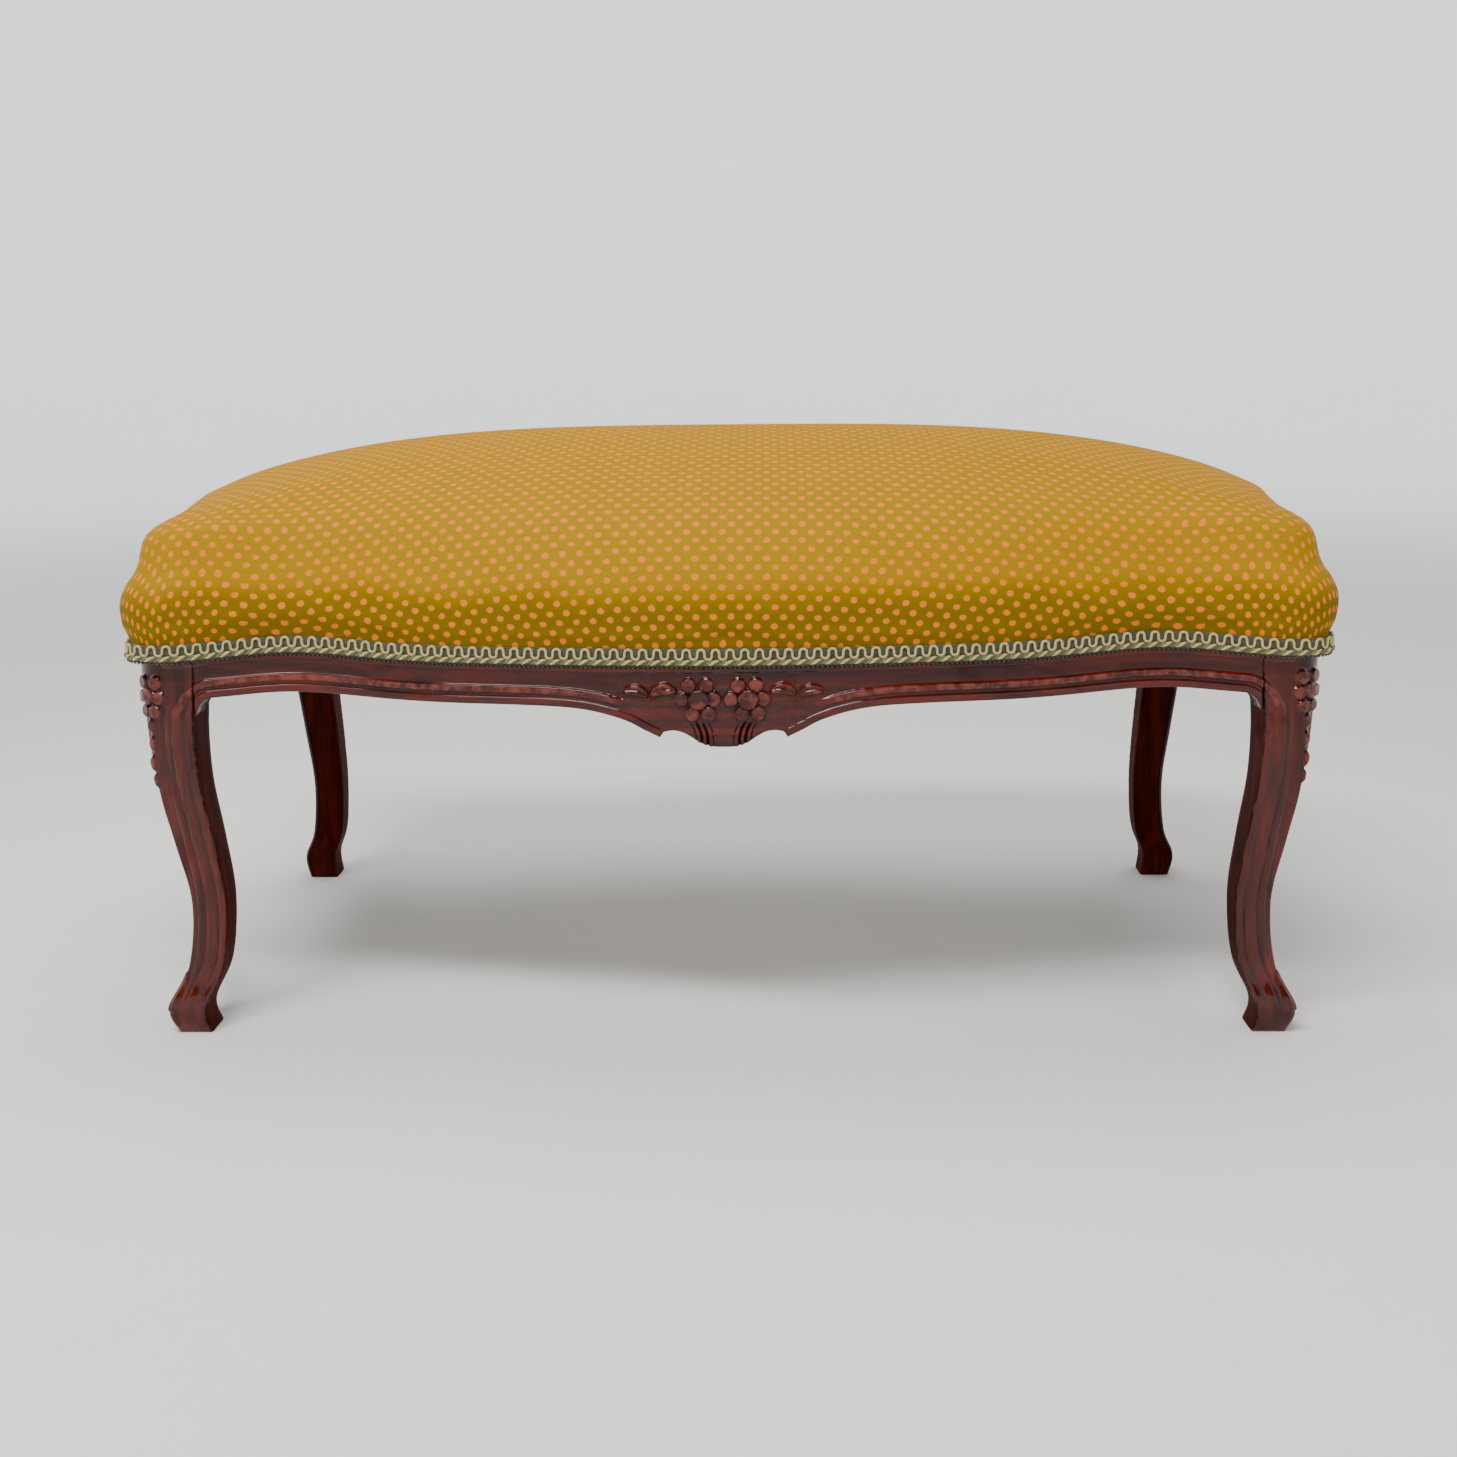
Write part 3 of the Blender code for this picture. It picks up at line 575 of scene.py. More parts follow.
# %% Helpers for a rail
def rail_board(columns, rows):
    """A grid with its lower and upper edges carried back (layer 1) and bridged into a board."""
    bm = counted_grid(columns, rows)
    chains = []
    for row in (0, rows):
        line = [e for e in bm.edges if all(v.co.y == row for v in e.verts)]
        made = bmesh.ops.extrude_edge_only(bm, edges=line)["geom"]
        for point in made:
            if isinstance(point, bmesh.types.BMVert):
                point.co.z = 1
        chains += [e for e in made if isinstance(e, bmesh.types.BMEdge) and all(v.co.z == 1 for v in e.verts)]
    bmesh.ops.bridge_loops(bm, edges=chains)
    bmesh.ops.holes_fill(bm, edges=[e for e in bm.edges if e.is_boundary], sides=0)
    return bm


def reach_along(values, axis):
    """How far the seat's edge is from the middle line, at each value along an axis."""
    other = 1 - axis
    chosen = edge[edge[:, other] > 0.1] if axis == 0 else edge[edge[:, other] > 0.3]
    order = np.argsort(chosen[:, axis])
    return np.interp(values, chosen[order, axis], chosen[order, other])


def rail_places(along, heights, relief, axis, side):
    """Places for a rail's board: the carved face, then the tacking face, and the back."""
    reach = reach_along(along, axis)[None, :] - WOOD_INSET
    top = heights[-1:]
    out = reach + relief / 1000
    out = np.concatenate([out, np.repeat(reach - REBATE_DEPTH, 2, axis=0)])
    tall = np.concatenate([heights, top, np.full_like(top, RAIL_TOP)])
    back = np.repeat(reach - RAIL_THICKNESS, len(tall), axis=0)
    spots = []
    for across in (out, back):
        plan = [np.broadcast_to(along, tall.shape), across * side]
        spots.append(np.stack([plan[axis], plan[1 - axis], tall], axis=-1))
    return np.stack(spots)


print("front middle of the wood stands at y =", round(-float(reach_along(0.0, 0)) + WOOD_INSET, 4))

# %% Carve the front and rear rails
half_span = np.concatenate([
    np.arange(0.0, 0.0855, 0.00075), np.arange(0.0870, 0.1800, 0.0015),
    np.arange(0.1830, 0.3800, 0.0035), fillet[:, 0],
])
span = np.unique(np.round(np.concatenate([-half_span[::-1], half_span]), 6))
FACE_ROWS = 66
under = np.interp(np.abs(span), under_line[:, 0], under_line[:, 1])
crest = SHOW_WOOD_TOP + lift(span)
share = np.linspace(0, 1, FACE_ROWS + 1)[:, None]
face_z = under + (crest - under) * share
face_x = np.broadcast_to(span, face_z.shape)
low, past = line_distance(moulded_line, np.abs(face_x), face_z)
low = low * 1000
high = (crest - face_z) * 1000
rng = np.random.default_rng(7)
scratches = rng.normal(0, 1, face_z.shape)
scratches = (scratches + np.roll(scratches, 1, 1) + np.roll(scratches, -1, 1) + np.roll(scratches, 1, 0)) / 4

moulded = rail_section(low, high)
field = -0.15 + 0.42 * scratches - 1.7 * hump(high, 8.2, 4.8) * (high < 13) + 0.9 * ease(high, 4.0, 2.6)
dies = ease(np.abs(face_x), 0.062, 0.086)
moulded = np.where(low > 8.2, moulded * dies + field * (1 - dies), moulded)
moulded = np.where(past > 0, field, moulded)
edge_below = (face_z - under) * 1000
moulded = np.where(past > 0, moulded - 1.6 * (1 - np.clip(edge_below / 2.2, 0, 1)) ** 2, moulded)
carved = carve_apron(face_x * 1000, face_z * 1000, moulded)

for name, side in (("front", -1), ("rear", 1)):
    places = rail_places(span, face_z, carved, 0, side)
    numbers = np.zeros(places.shape[:3])
    numbers[0, :FACE_ROWS + 1] = np.clip(carved, -1.6, 2.2) / 2
    numbers[1] = UNPOLISHED_PAINTED_SHADE
    bm = rail_board(len(span) - 1, FACE_ROWS + 2)
    lay(bm, places, numbers)
    rail = made_piece(bm, f"carved_rail_{name}", long_mahogany)
    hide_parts(f"rail_{name}")
    print(rail.name, len(rail.data.polygons), "faces, relief", round(float(carved.max()), 1), "mm")

# %% [markdown]
# ## End rails
#
# The short rails carry the same moulding without any carving, over a lightly arched lower edge.

# %% Shape the end rails
end_span = np.linspace(-(POST_Y - GAP), POST_Y - GAP, 101)
end_under = RAIL_UNDERSIDE + END_ARCH * (1 - (end_span / (POST_Y - GAP)) ** 2)
END_ROWS = 46
end_share = np.linspace(0, 1, END_ROWS + 1)[:, None]
end_z = end_under + (SHOW_WOOD_TOP - end_under) * end_share
end_relief = rail_section((end_z - end_under) * 1000, (SHOW_WOOD_TOP - end_z) * 1000)

for name, side in (("left", -1), ("right", 1)):
    places = rail_places(end_span, end_z, end_relief, 1, side)
    numbers = np.zeros(places.shape[:3])
    numbers[0, :END_ROWS + 1] = np.clip(end_relief, -1.6, 2.2) / 2
    numbers[1] = UNPOLISHED_PAINTED_SHADE
    bm = rail_board(len(end_span) - 1, END_ROWS + 2)
    lay(bm, places, numbers)
    rail = made_piece(bm, f"moulded_rail_{name}", end_mahogany)
    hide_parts(f"rail_{name}")
    print(rail.name, len(rail.data.polygons), "faces")

# %% [markdown]
# ## Legs
#
# Each leg is sawn square from two sides along the same bent curve, then rounded to the seat's plan
# at the knee. Both outward faces carry the moulding. The corner between them is softened and
# carved: a small flower on the knee with drops running down from it, and a plain leaf on the toe.
# A sheet of points is wrapped round the section, welded along its seam, and closed at both ends.

# %% The bent curve of a leg and its squared section
LEG_X, LEG_Y = 0.430, 0.203
LEG_CURVE = [
    (0.000, 0.0000, 0.0270), (0.020, 0.0050, 0.0290), (0.050, -0.0080, 0.0273),
    (0.100, -0.0120, 0.0271), (0.150, -0.0046, 0.0304), (0.200, 0.0039, 0.0335),
    (0.250, 0.0105, 0.0396), (0.290, 0.0145, 0.0460), (RAIL_TOP, 0.0145, 0.0460),
]
FACE_STEPS, BACK_STEPS = 38, 6
leg_z = np.concatenate([
    np.arange(0.0, 0.052, 0.0013), np.arange(0.052, 0.198, 0.0030), np.arange(0.198, SHOW_WOOD_TOP, 0.0011),
    [SHOW_WOOD_TOP, SHOW_WOOD_TOP + 0.0002, RAIL_TOP],
])
bent = through(LEG_CURVE, 8)
stand_out = np.interp(leg_z, bent[:, 0], bent[:, 1])[:, None]
section = np.interp(leg_z, bent[:, 0], bent[:, 2])[:, None]

go = np.linspace(0, 1, FACE_STEPS + 1)[:-1]
back = np.linspace(0, 1, BACK_STEPS + 1)[:-1]
from_x = np.concatenate([1 - go, 0 * go, back, 1 + 0 * back, [1.0]])
from_y = np.concatenate([0 * go, go, 1 + 0 * back, 1 - back, [0.0]])
local_x, local_y = (0.5 - from_x) * section, (0.5 - from_y) * section

corner_round = 0.0016 + 0.0085 * ease(leg_z, 0.17, 0.24)[:, None] + 0.002 * ease(leg_z, 0.05, 0.01)[:, None]
both_out = (local_x + local_y) > 0.6 * section
arris = 0.0013 - 0.0012 * ease(leg_z, 0.240, 0.252)[:, None]
radius = np.where(both_out, corner_round, arris)
core = section / 2 - radius
off_x, off_y = np.abs(local_x) - core, np.abs(local_y) - core
in_corner = (off_x > 0) & (off_y > 0)
shrink = np.where(in_corner, radius / np.maximum(np.hypot(off_x, off_y), 1e-9), 1.0)
local_x = np.where(in_corner, np.sign(local_x) * (core + off_x * shrink), local_x)
local_y = np.where(in_corner, np.sign(local_y) * (core + off_y * shrink), local_y)
plan_x = LEG_X + stand_out - section / 2 + local_x
plan_y = LEG_Y + stand_out - section / 2 + local_y
print("rows up the leg:", len(leg_z), "points round it:", plan_x.shape[1] - 1)

# %% Keep the knee inside the seat's plan, and measure along its faces
quarter_edge = moved_out(edge, -WOOD_INSET)
quarter_edge = quarter_edge[(quarter_edge[:, 0] > 0.30) & (quarter_edge[:, 1] > 0.06)]
knee_angle = np.arctan2(quarter_edge[:, 1] - POST_Y, quarter_edge[:, 0] - POST_X)
knee_reach = np.hypot(quarter_edge[:, 0] - POST_X, quarter_edge[:, 1] - POST_Y)
order = np.argsort(knee_angle)
angle = np.arctan2(plan_y - POST_Y, plan_x - POST_X)
reach = np.hypot(plan_x - POST_X, plan_y - POST_Y)
limit = np.interp(angle, knee_angle[order], knee_reach[order])
limit = limit - np.where(leg_z > SHOW_WOOD_TOP + 0.0001, REBATE_DEPTH, 0.0)[:, None]
clear = (plan_x < POST_X + 0.0001) | (plan_y < POST_Y + 0.0001)
bound = np.where(clear, 1.0, np.minimum(1.0, limit / np.maximum(reach, 1e-6)))
plan_x, plan_y = POST_X + (plan_x - POST_X) * bound, POST_Y + (plan_y - POST_Y) * bound
front_limit = reach_along(np.clip(plan_x, 0, 0.41), 0) - WOOD_INSET
plan_y = np.where((plan_x < POST_X + 0.0001) & (plan_y > front_limit), front_limit, plan_y)

steps = np.hypot(np.diff(plan_x, axis=1), np.diff(plan_y, axis=1))
walked = np.concatenate([np.zeros((len(leg_z), 1)), np.cumsum(steps, axis=1)], axis=1) * 1000
from_corner = walked[:, FACE_STEPS:FACE_STEPS + 1] - walked
tangent_x = np.roll(plan_x[:, :-1], -1, 1) - np.roll(plan_x[:, :-1], 1, 1)
tangent_y = np.roll(plan_y[:, :-1], -1, 1) - np.roll(plan_y[:, :-1], 1, 1)
tangent_x = np.concatenate([tangent_x, tangent_x[:, :1]], axis=1)
tangent_y = np.concatenate([tangent_y, tangent_y[:, :1]], axis=1)
length = np.maximum(np.hypot(tangent_x, tangent_y), 1e-9)
normal_x, normal_y = -tangent_y / length, tangent_x / length
for seam_column, straight_normal in ((0, (0.0, 1.0)), (2 * FACE_STEPS, (1.0, 0.0)), (-1, (0.0, 1.0))):
    normal_x[:, seam_column], normal_y[:, seam_column] = straight_normal
print("face at the knee:", round(float(walked[-20, FACE_STEPS]), 1), "mm")

# %% Relief of the mouldings and the carved corner
inner = np.stack([LEG_X + stand_out[:, 0] - section[:, 0], leg_z], axis=1)
inner_end = np.stack([LEG_Y + stand_out[:, 0] - section[:, 0], leg_z], axis=1)
level_part = np.stack([np.linspace(0.30, 0.382, 12), np.full(12, RAIL_UNDERSIDE)], axis=1)
turn_line = np.concatenate([level_part, fillet])
turn_line[:, 1] += lift(turn_line[:, 0])
below = inner[leg_z < RAIL_UNDERSIDE - CORNER_RADIUS - 0.001][::-1]
front_path = np.concatenate([turn_line, below])
end_path = np.concatenate([[(0.10, RAIL_UNDERSIDE), (POST_Y, RAIL_UNDERSIDE)],
                           inner_end[leg_z < RAIL_UNDERSIDE - 0.002][::-1]])
tall = np.broadcast_to(leg_z[:, None], plan_x.shape)
front_low, _ = line_distance(front_path[::2], plan_x, tall)
end_low, _ = line_distance(end_path[::2], plan_y, tall)
column = np.arange(plan_x.shape[1])[None, :]
is_front = column <= FACE_STEPS
low = np.where(is_front, front_low, end_low) * 1000
high = (SHOW_WOOD_TOP - tall) * 1000

turning = ease(tall, 0.240, 0.272)
relief = leg_section(low) * (1 - turning) + rail_section(low, high) * turning
outer_face = column <= 2 * FACE_STEPS
corner_band = ease(np.abs(from_corner), 15.5, 11.5) * ease(tall, 0.190, 0.215)
relief = relief * (1 - corner_band) - 0.6 * corner_band
foot = ease(tall, 0.030, 0.018)
relief = relief * (1 - foot)

KNEE_BUTTONS = [(-6.6, 279.5, 5.3), (6.8, 279.5, 5.3), (-9.2, 268.0, 5.0), (9.2, 268.0, 5.0),
                (-4.4, 257.6, 4.9), (5.2, 257.4, 4.9), (0.0, 269.4, 5.9)]
KNEE_DROPS = [(0.0, 246.0, 4.8, 7.0), (0.6, 232.5, 4.2, 7.4), (0.0, 217.0, 3.6, 8.0), (0.0, 203.0, 2.6, 6.5)]
for px, pz, size in KNEE_BUTTONS:
    height = 3.9 if px == 0 else 3.1
    away = np.hypot(from_corner - px, tall * 1000 - pz)
    relief = relief - 1.2 * hump(away, size + 0.9, 1.3) * (relief < 1.0)
    relief = np.maximum(relief, button(from_corner, tall * 1000, (px, pz), size, height) - 0.5)
for px, pz, wide, long in KNEE_DROPS:
    away = np.hypot((from_corner - px) / wide, (tall * 1000 - pz) / long)
    relief = np.maximum(relief, 2.8 * ease(away, 1.05, 0.45) - 0.6)
leaf_half = np.clip((48 - tall * 1000) * 0.42, 0, 12) * (tall > 0.019)
leaf = 1.3 * ease(np.abs(from_corner), leaf_half, leaf_half * 0.85 - 0.3) * (leaf_half > 0.6)
leaf = leaf - 0.7 * hump(from_corner, 0.0, 0.8) * (leaf_half > 2)
relief = np.where(leaf_half > np.abs(from_corner), np.maximum(relief, leaf), relief)
relief = np.where(outer_face & (tall <= SHOW_WOOD_TOP), relief, 0.0)
seam = ease(np.minimum(walked, np.abs(walked[:, 2 * FACE_STEPS:2 * FACE_STEPS + 1] - walked)), 0.0, 0.8)
relief = np.where(outer_face, relief * np.where(tall < 0.25, seam, 1.0), relief)
relief[:, -1] = relief[:, 0]
print("relief on a leg:", round(float(relief.min()), 1), "to", round(float(relief.max()), 1), "mm")

# %% Make the four legs
shaped_x = plan_x + normal_x * relief / 1000
shaped_y = plan_y + normal_y * relief / 1000
CORNERS = [("front_left", -1, -1), ("front_right", 1, -1), ("rear_left", -1, 1), ("rear_right", 1, 1)]
for name, sx, sy in CORNERS:
    places = np.stack([sx * shaped_x, sy * shaped_y, tall], axis=-1)[None]
    bm = counted_grid(plan_x.shape[1] - 1, len(leg_z) - 1)
    lay(bm, places, np.where(outer_face, np.clip(relief, -1.6, 2.2) / 2, UNPOLISHED_PAINTED_SHADE)[None])
    bmesh.ops.remove_doubles(bm, verts=bm.verts, dist=0.00002)
    bmesh.ops.holes_fill(bm, edges=[e for e in bm.edges if e.is_boundary], sides=0)
    leg = made_piece(bm, f"carved_leg_{name}", upright_mahogany)
    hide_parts(f"leg_{name}")
    print(leg.name, len(leg.data.polygons), "faces")

# %% [markdown]
# ## The cover cloth
#
# The cover is a mustard twill with small raised orange dots in half-drop rows. The cloth has its
# own coordinates, the distance walked along and across it in metres, so the dots stay
# the same size where the seat curves. Fine diagonal lines are the twill, and its gold and olive
# yarns come and go a little, as in any woven cloth. Low on the wall the ground is painted a darker
# olive as shade.

# %% Weave the cover cloth
DOT_ALONG, DOT_ACROSS = 0.0130, 0.0150


def make_cover_cloth():
    cloth = Finish("dotted_twill")
    spot = cloth.attribute("cloth", "Vector")
    along, across, _ = cloth.parts(spot)
    wander = cloth.noise(spot, 55.0, 2.0) - 0.5
    stray = cloth.noise(spot, 210.0, 2.0) - 0.5
    rows = []
    for shift in (0.0, 0.5):
        p = (along / DOT_ALONG + wander * 0.10 + shift).fraction() - 0.5
        q = (across / DOT_ACROSS + stray * 0.16 + shift).fraction() - 0.5
        away = ((p * DOT_ALONG * 1000).power(2) + (q * DOT_ACROSS * 1000 * 1.12).power(2)).power(0.5)
        rows.append(away + stray * 1.1)
    nearest = rows[0].sum("MINIMUM", rows[0], rows[1])
    dots = nearest.step(3.15, 2.25)
    twill = ((along + across) * (2 * math.pi / 0.00115)).sine() * 0.5 + 0.5
    weft = (across * (2 * math.pi / 0.00075)).sine() * 0.5 + 0.5
    drawn_out = cloth.node("ShaderNodeMapping", {}, {"Vector": spot, "Scale": (260.0, 900.0, 1.0)})
    yarn = cloth.noise(drawn_out, 1.0, 3.0)
    patchy = cloth.noise(spot, 12.0, 3.0)
    ground = cloth.mix(twill * 0.62 + yarn * 0.40, (0.140, 0.082, 0.0012), (0.500, 0.272, 0.0050))
    ground = cloth.mix(patchy.step(0.35, 0.70) * 0.30, ground, (0.250, 0.175, 0.004))
    _, _, tall = cloth.parts(cloth.place())
    # Painted shade: the ground is painted a darker olive toward the bottom of the wall.
    shaded_lower_wall = (tall + (patchy - 0.5) * 0.03).step(0.362, 0.335)
    ground = cloth.mix(shaded_lower_wall * (0.45 + yarn * 0.4), ground, (0.110, 0.076, 0.0010))
    orange = cloth.mix(weft * 0.55 + yarn * 0.35, (0.640, 0.130, 0.008), (0.960, 0.290, 0.024))
    colour = cloth.mix(dots * 0.90, ground, orange)
    height = dots * 0.9 + twill * 0.35 * (1 - dots) + weft * 0.35 * dots + yarn * 0.25
    return cloth.done(Base_Color=colour, Roughness=0.72 - dots * 0.10, Sheen_Weight=0.05,
                      Sheen_Roughness=0.45, Sheen_Tint=(0.90, 0.70, 0.25),
                      Specular_IOR_Level=0.04, Normal=cloth.bump(height, 0.00035, 0.7))


cover_cloth = make_cover_cloth()
print("dots every", DOT_ALONG * 1000, "by", DOT_ACROSS * 1000, "mm")

# %% [markdown]
# ## The domed seat
#
# An upholsterer builds the seat up in layers and pulls the cloth down over them, so the pad is a low
# dome with a rounded shoulder and a wall that bulges before it is drawn in to the tacked edge. A
# grid is spread over the dome with its four corners at the seat's corners, and its rim is extruded
# down the wall ring by ring.

# %% Spread a grid over the dome
CROWN_BASE, CROWN_RISE, CROWN_REACH, CROWN_POWER = 0.3795, 0.0790, (0.515, 0.290), (3.3, 1.56)
CROWN_OVAL, CROWN_OVAL_RATE, SHOULDER_INSET = (0.455, 0.228), 1.5, 0.0085
SHOULDER_DROP, SHOULDER_FADE, DROP_ENDS, DROP_KEPT = 0.0195, 0.016, (0.28, 0.41), 0.15
COVER_SIDE = [(-0.0050, 0.2965, 1.0), (-0.0050, 0.3105, 1.0), (-0.0010, 0.3190, 1.0), (0.0035, 0.3290, 1.0),
              (0.0055, 0.3410, 0.8), (0.0045, 0.3540, 0.1), (0.0005, 0.3660, -0.6)]
DOME_COLUMNS, DOME_ROWS = 104, 72
SOFTENING = 10
SIM_INSET = 0.0015


def edge_distance(x, y):
    """Distance in plan from each spot to the seat's edge."""
    nearest = np.full(np.shape(x), np.inf)
    for (ax, ay), (bx, by) in zip(edge[::2], np.roll(edge[::2], -1, 0)):
        dx, dy = bx - ax, by - ay
        t = np.clip(((x - ax) * dx + (y - ay) * dy) / (dx * dx + dy * dy), 0, 1)
        nearest = np.minimum(nearest, np.hypot(x - ax - t * dx, y - ay - t * dy))
    return nearest


def crown_height(x, y):
    kept = 1 - (1 - DROP_KEPT) * ease(np.abs(x), *DROP_ENDS)
    inward = np.maximum(0, edge_distance(x, y) - SHOULDER_INSET)
    drop = SHOULDER_DROP * kept * np.exp(-inward / SHOULDER_FADE)
    part_x = 1 - np.clip(np.abs(x) / CROWN_REACH[0], 0, 1) ** CROWN_POWER[0]
    part_y = 1 - np.clip(np.abs(y) / CROWN_REACH[1], 0, 1) ** CROWN_POWER[1]
    return CROWN_BASE + CROWN_RISE * part_x * part_y - drop


def on_loop(loop, place):
    """The point of a closed loop at a place counted in steps, between two of its points."""
    whole = np.floor(place).astype(int)
    part = (place - whole)[..., None]
    return loop[whole % len(loop)] * (1 - part) + loop[(whole + 1) % len(loop)] * part


def rim_place(a, b):
    """Where the spoke through grid place (a, b) meets the rim, in steps round the seat's edge."""
    far = np.maximum(np.maximum(np.abs(a), np.abs(b)), 1e-9)
    a, b = a / far, b / far
    front = 300 + (a + 1) / 2 * 104
    right = 52 + (b + 1) / 2 * 72
    rear = 124 + (1 - a) / 2 * 104
    left = 228 + (1 - b) / 2 * 72
    place = np.where(b <= -0.9999, front, np.where(a >= 0.9999, right, np.where(b >= 0.9999, rear, left)))
    return place, far


b, a = np.meshgrid(np.linspace(-1, 1, DOME_ROWS + 1), np.linspace(-1, 1, DOME_COLUMNS + 1), indexing="ij")
place, scale = rim_place(a, b)
scale = np.maximum(scale, 1e-6)
shoulder = on_loop(moved_out(edge, -SHOULDER_INSET), place)
rim = on_loop(edge, place)
spoke = np.arctan2(rim[..., 1] / 0.247, rim[..., 0] / 0.470)
blend = np.minimum(1.0, (1 - scale) * CROWN_OVAL_RATE)
dome_x = scale * (shoulder[..., 0] * (1 - blend) + CROWN_OVAL[0] * np.cos(spoke) * blend)
dome_y = scale * (shoulder[..., 1] * (1 - blend) + CROWN_OVAL[1] * np.sin(spoke) * blend)
dome_z = crown_height(dome_x, dome_y)
print("crown stands at", round(float(dome_z.max()), 4), "m")
print("shoulder stands near", round(float(dome_z[0, 52]), 4), "m")

# %% Extrude the rim down the wall
def lifted(loop, heights):
    """Raises the lower part of the wall where the braid line rises."""
    rise = lift(loop[:, 0]) * (np.abs(loop[:, 1]) > 0.12)
    return heights + rise * (1 - ease(heights, 0.315, 0.350))


shoulder_loop = moved_out(edge, -SHOULDER_INSET)
side_rings = [np.column_stack([moved_out(edge, out) + corner_padding(edge) * share,
                               lifted(edge, np.full(len(edge), z))]) for out, z, share in COVER_SIDE]
side_rings.append(np.column_stack([shoulder_loop, crown_height(*shoulder_loop.T)]))
wall = through(side_rings, 2)
wall_rings = wall[:-1][::-1]
print("rings down the wall:", len(wall_rings))

bm = counted_grid(DOME_COLUMNS, DOME_ROWS)
lay(bm, np.stack([dome_x, dome_y, dome_z], axis=-1)[None])
bm.verts.ensure_lookup_table()
rim_edges = [e for e in bm.edges if e.is_boundary]
rim_order = {}
for e in rim_edges:
    for v in e.verts:
        if v.index not in rim_order:
            away = np.hypot(shoulder_loop[:, 0] - v.co.x, shoulder_loop[:, 1] - v.co.y)
            rim_order[v.index] = int(away.argmin())
step_tag = bm.verts.layers.int.new("step")
ring_tag = bm.verts.layers.int.new("ring")
for v in bm.verts:
    v[step_tag] = rim_order.get(v.index, -1)
for number, ring in enumerate(wall_rings, 1):
    made = bmesh.ops.extrude_edge_only(bm, edges=rim_edges)["geom"]
    for v in made:
        if isinstance(v, bmesh.types.BMVert):
            v.co = ring[v[step_tag]]
            v[ring_tag] = number
    rim_edges = [e for e in made if isinstance(e, bmesh.types.BMEdge) and e.is_boundary]
bmesh.ops.recalc_face_normals(bm, faces=bm.faces)
bm.normal_update()
drawn = [(v, v.co.copy(), v.normal.copy()) for v in bm.verts]
softened = [v for v in bm.verts if v.co.z > 0.368]
for factor in (0.5, -0.52) * SOFTENING:
    bmesh.ops.smooth_vert(bm, verts=softened, factor=factor,
                          use_axis_x=True, use_axis_y=True, use_axis_z=True)
for v, spot, way in drawn:
    v.co = spot + way * (v.co - spot).dot(way)
print("seat skin:", len(bm.verts), "points")

# %% [markdown]
# ## Lay the cloth's own coordinates
#
# On the dome, the distance walked along the seat from its middle is one coordinate and the distance
# walked across it the other. Down the wall both go on in the direction straight out from the
# edge, as a single cloth does when it is drawn down over a shoulder.

# %% Measure the cloth over the dome and down the wall
def walked_distance(x, y, axis):
    """Length over the crown from the middle line to (x, y), along an axis."""
    goal = (x, y)[axis]
    parts = np.linspace(0, 1, 25)
    line = [np.outer(parts, goal), np.broadcast_to((y, x)[axis], (25, len(goal)))]
    heights = crown_height(*(line if axis == 0 else line[::-1]))
    return np.hypot(np.diff(line[0], axis=0), np.diff(heights, axis=0)).sum(axis=0) * np.sign(goal)


cloth_tag = bm.verts.layers.float_vector.new("cloth")
shoulder_cloth = np.column_stack([walked_distance(*shoulder_loop.T, 0), walked_distance(*shoulder_loop.T, 1)])
wall_walk = np.zeros((len(wall_rings) + 1, len(edge)))
wall_stack = [np.column_stack([shoulder_loop, crown_height(*shoulder_loop.T)]), *wall_rings]
for number in range(1, len(wall_stack)):
    stride = np.linalg.norm(wall_stack[number] - wall_stack[number - 1], axis=1)
    wall_walk[number] = wall_walk[number - 1] + stride
straight_out = outward(edge)
for _ in range(60):
    straight_out = (straight_out + np.roll(straight_out, 1, 0) + np.roll(straight_out, -1, 0)) / 3
crown_points = [v for v in bm.verts if v[ring_tag] == 0]
spots = np.array([v.co[:2] for v in crown_points])
crown_u, crown_v = walked_distance(*spots.T, 0), walked_distance(*spots.T, 1)
for v, u_value, v_value in zip(crown_points, crown_u, crown_v):
    v[cloth_tag] = (u_value, v_value, 0.0)
for v in bm.verts:
    if v[ring_tag] > 0:
        step = v[step_tag]
        far = wall_walk[v[ring_tag], step]
        v[cloth_tag] = (*(shoulder_cloth[step] + straight_out[step] * far), 0.0)
cloth_across = 2 * float(shoulder_cloth[:, 1].max() + wall_walk[-1].max())
print("cloth across the middle:", round(cloth_across, 3), "m")

# %% [markdown]
# ## Blow the cover up
#
# A cloth simulation gives the pad the tightness that a drawn shape lacks. The skin starts a little
# inside its final place, its tacked edge is held, and a light pressure swells it. How far
# any point may move is capped, so the seat keeps its size.

# %% Swell the skin with a short simulation
def skin_object(bm, name):
    mesh = bpy.data.meshes.new(name)
    bm.to_mesh(mesh)
    bm.free()
    thing = bpy.data.objects.new(name, mesh)
    bpy.context.scene.collection.objects.link(thing)
    return thing


def points_of(mesh):
    flat = np.empty(len(mesh.vertices) * 3, np.float32)
    mesh.vertices.foreach_get("co", flat)
    return flat.reshape(-1, 3).astype(float)


seat = skin_object(bm, "domed_seat")
target = points_of(seat.data)
flat = np.empty(len(seat.data.vertices) * 3, np.float32)
seat.data.vertices.foreach_get("normal", flat)
normals = flat.reshape(-1, 3).astype(float)
held = ease(target[:, 2], 0.345, 0.318)
start = target - normals * SIM_INSET * (1 - held)[:, None]
SWELL_CAP = 0.0025

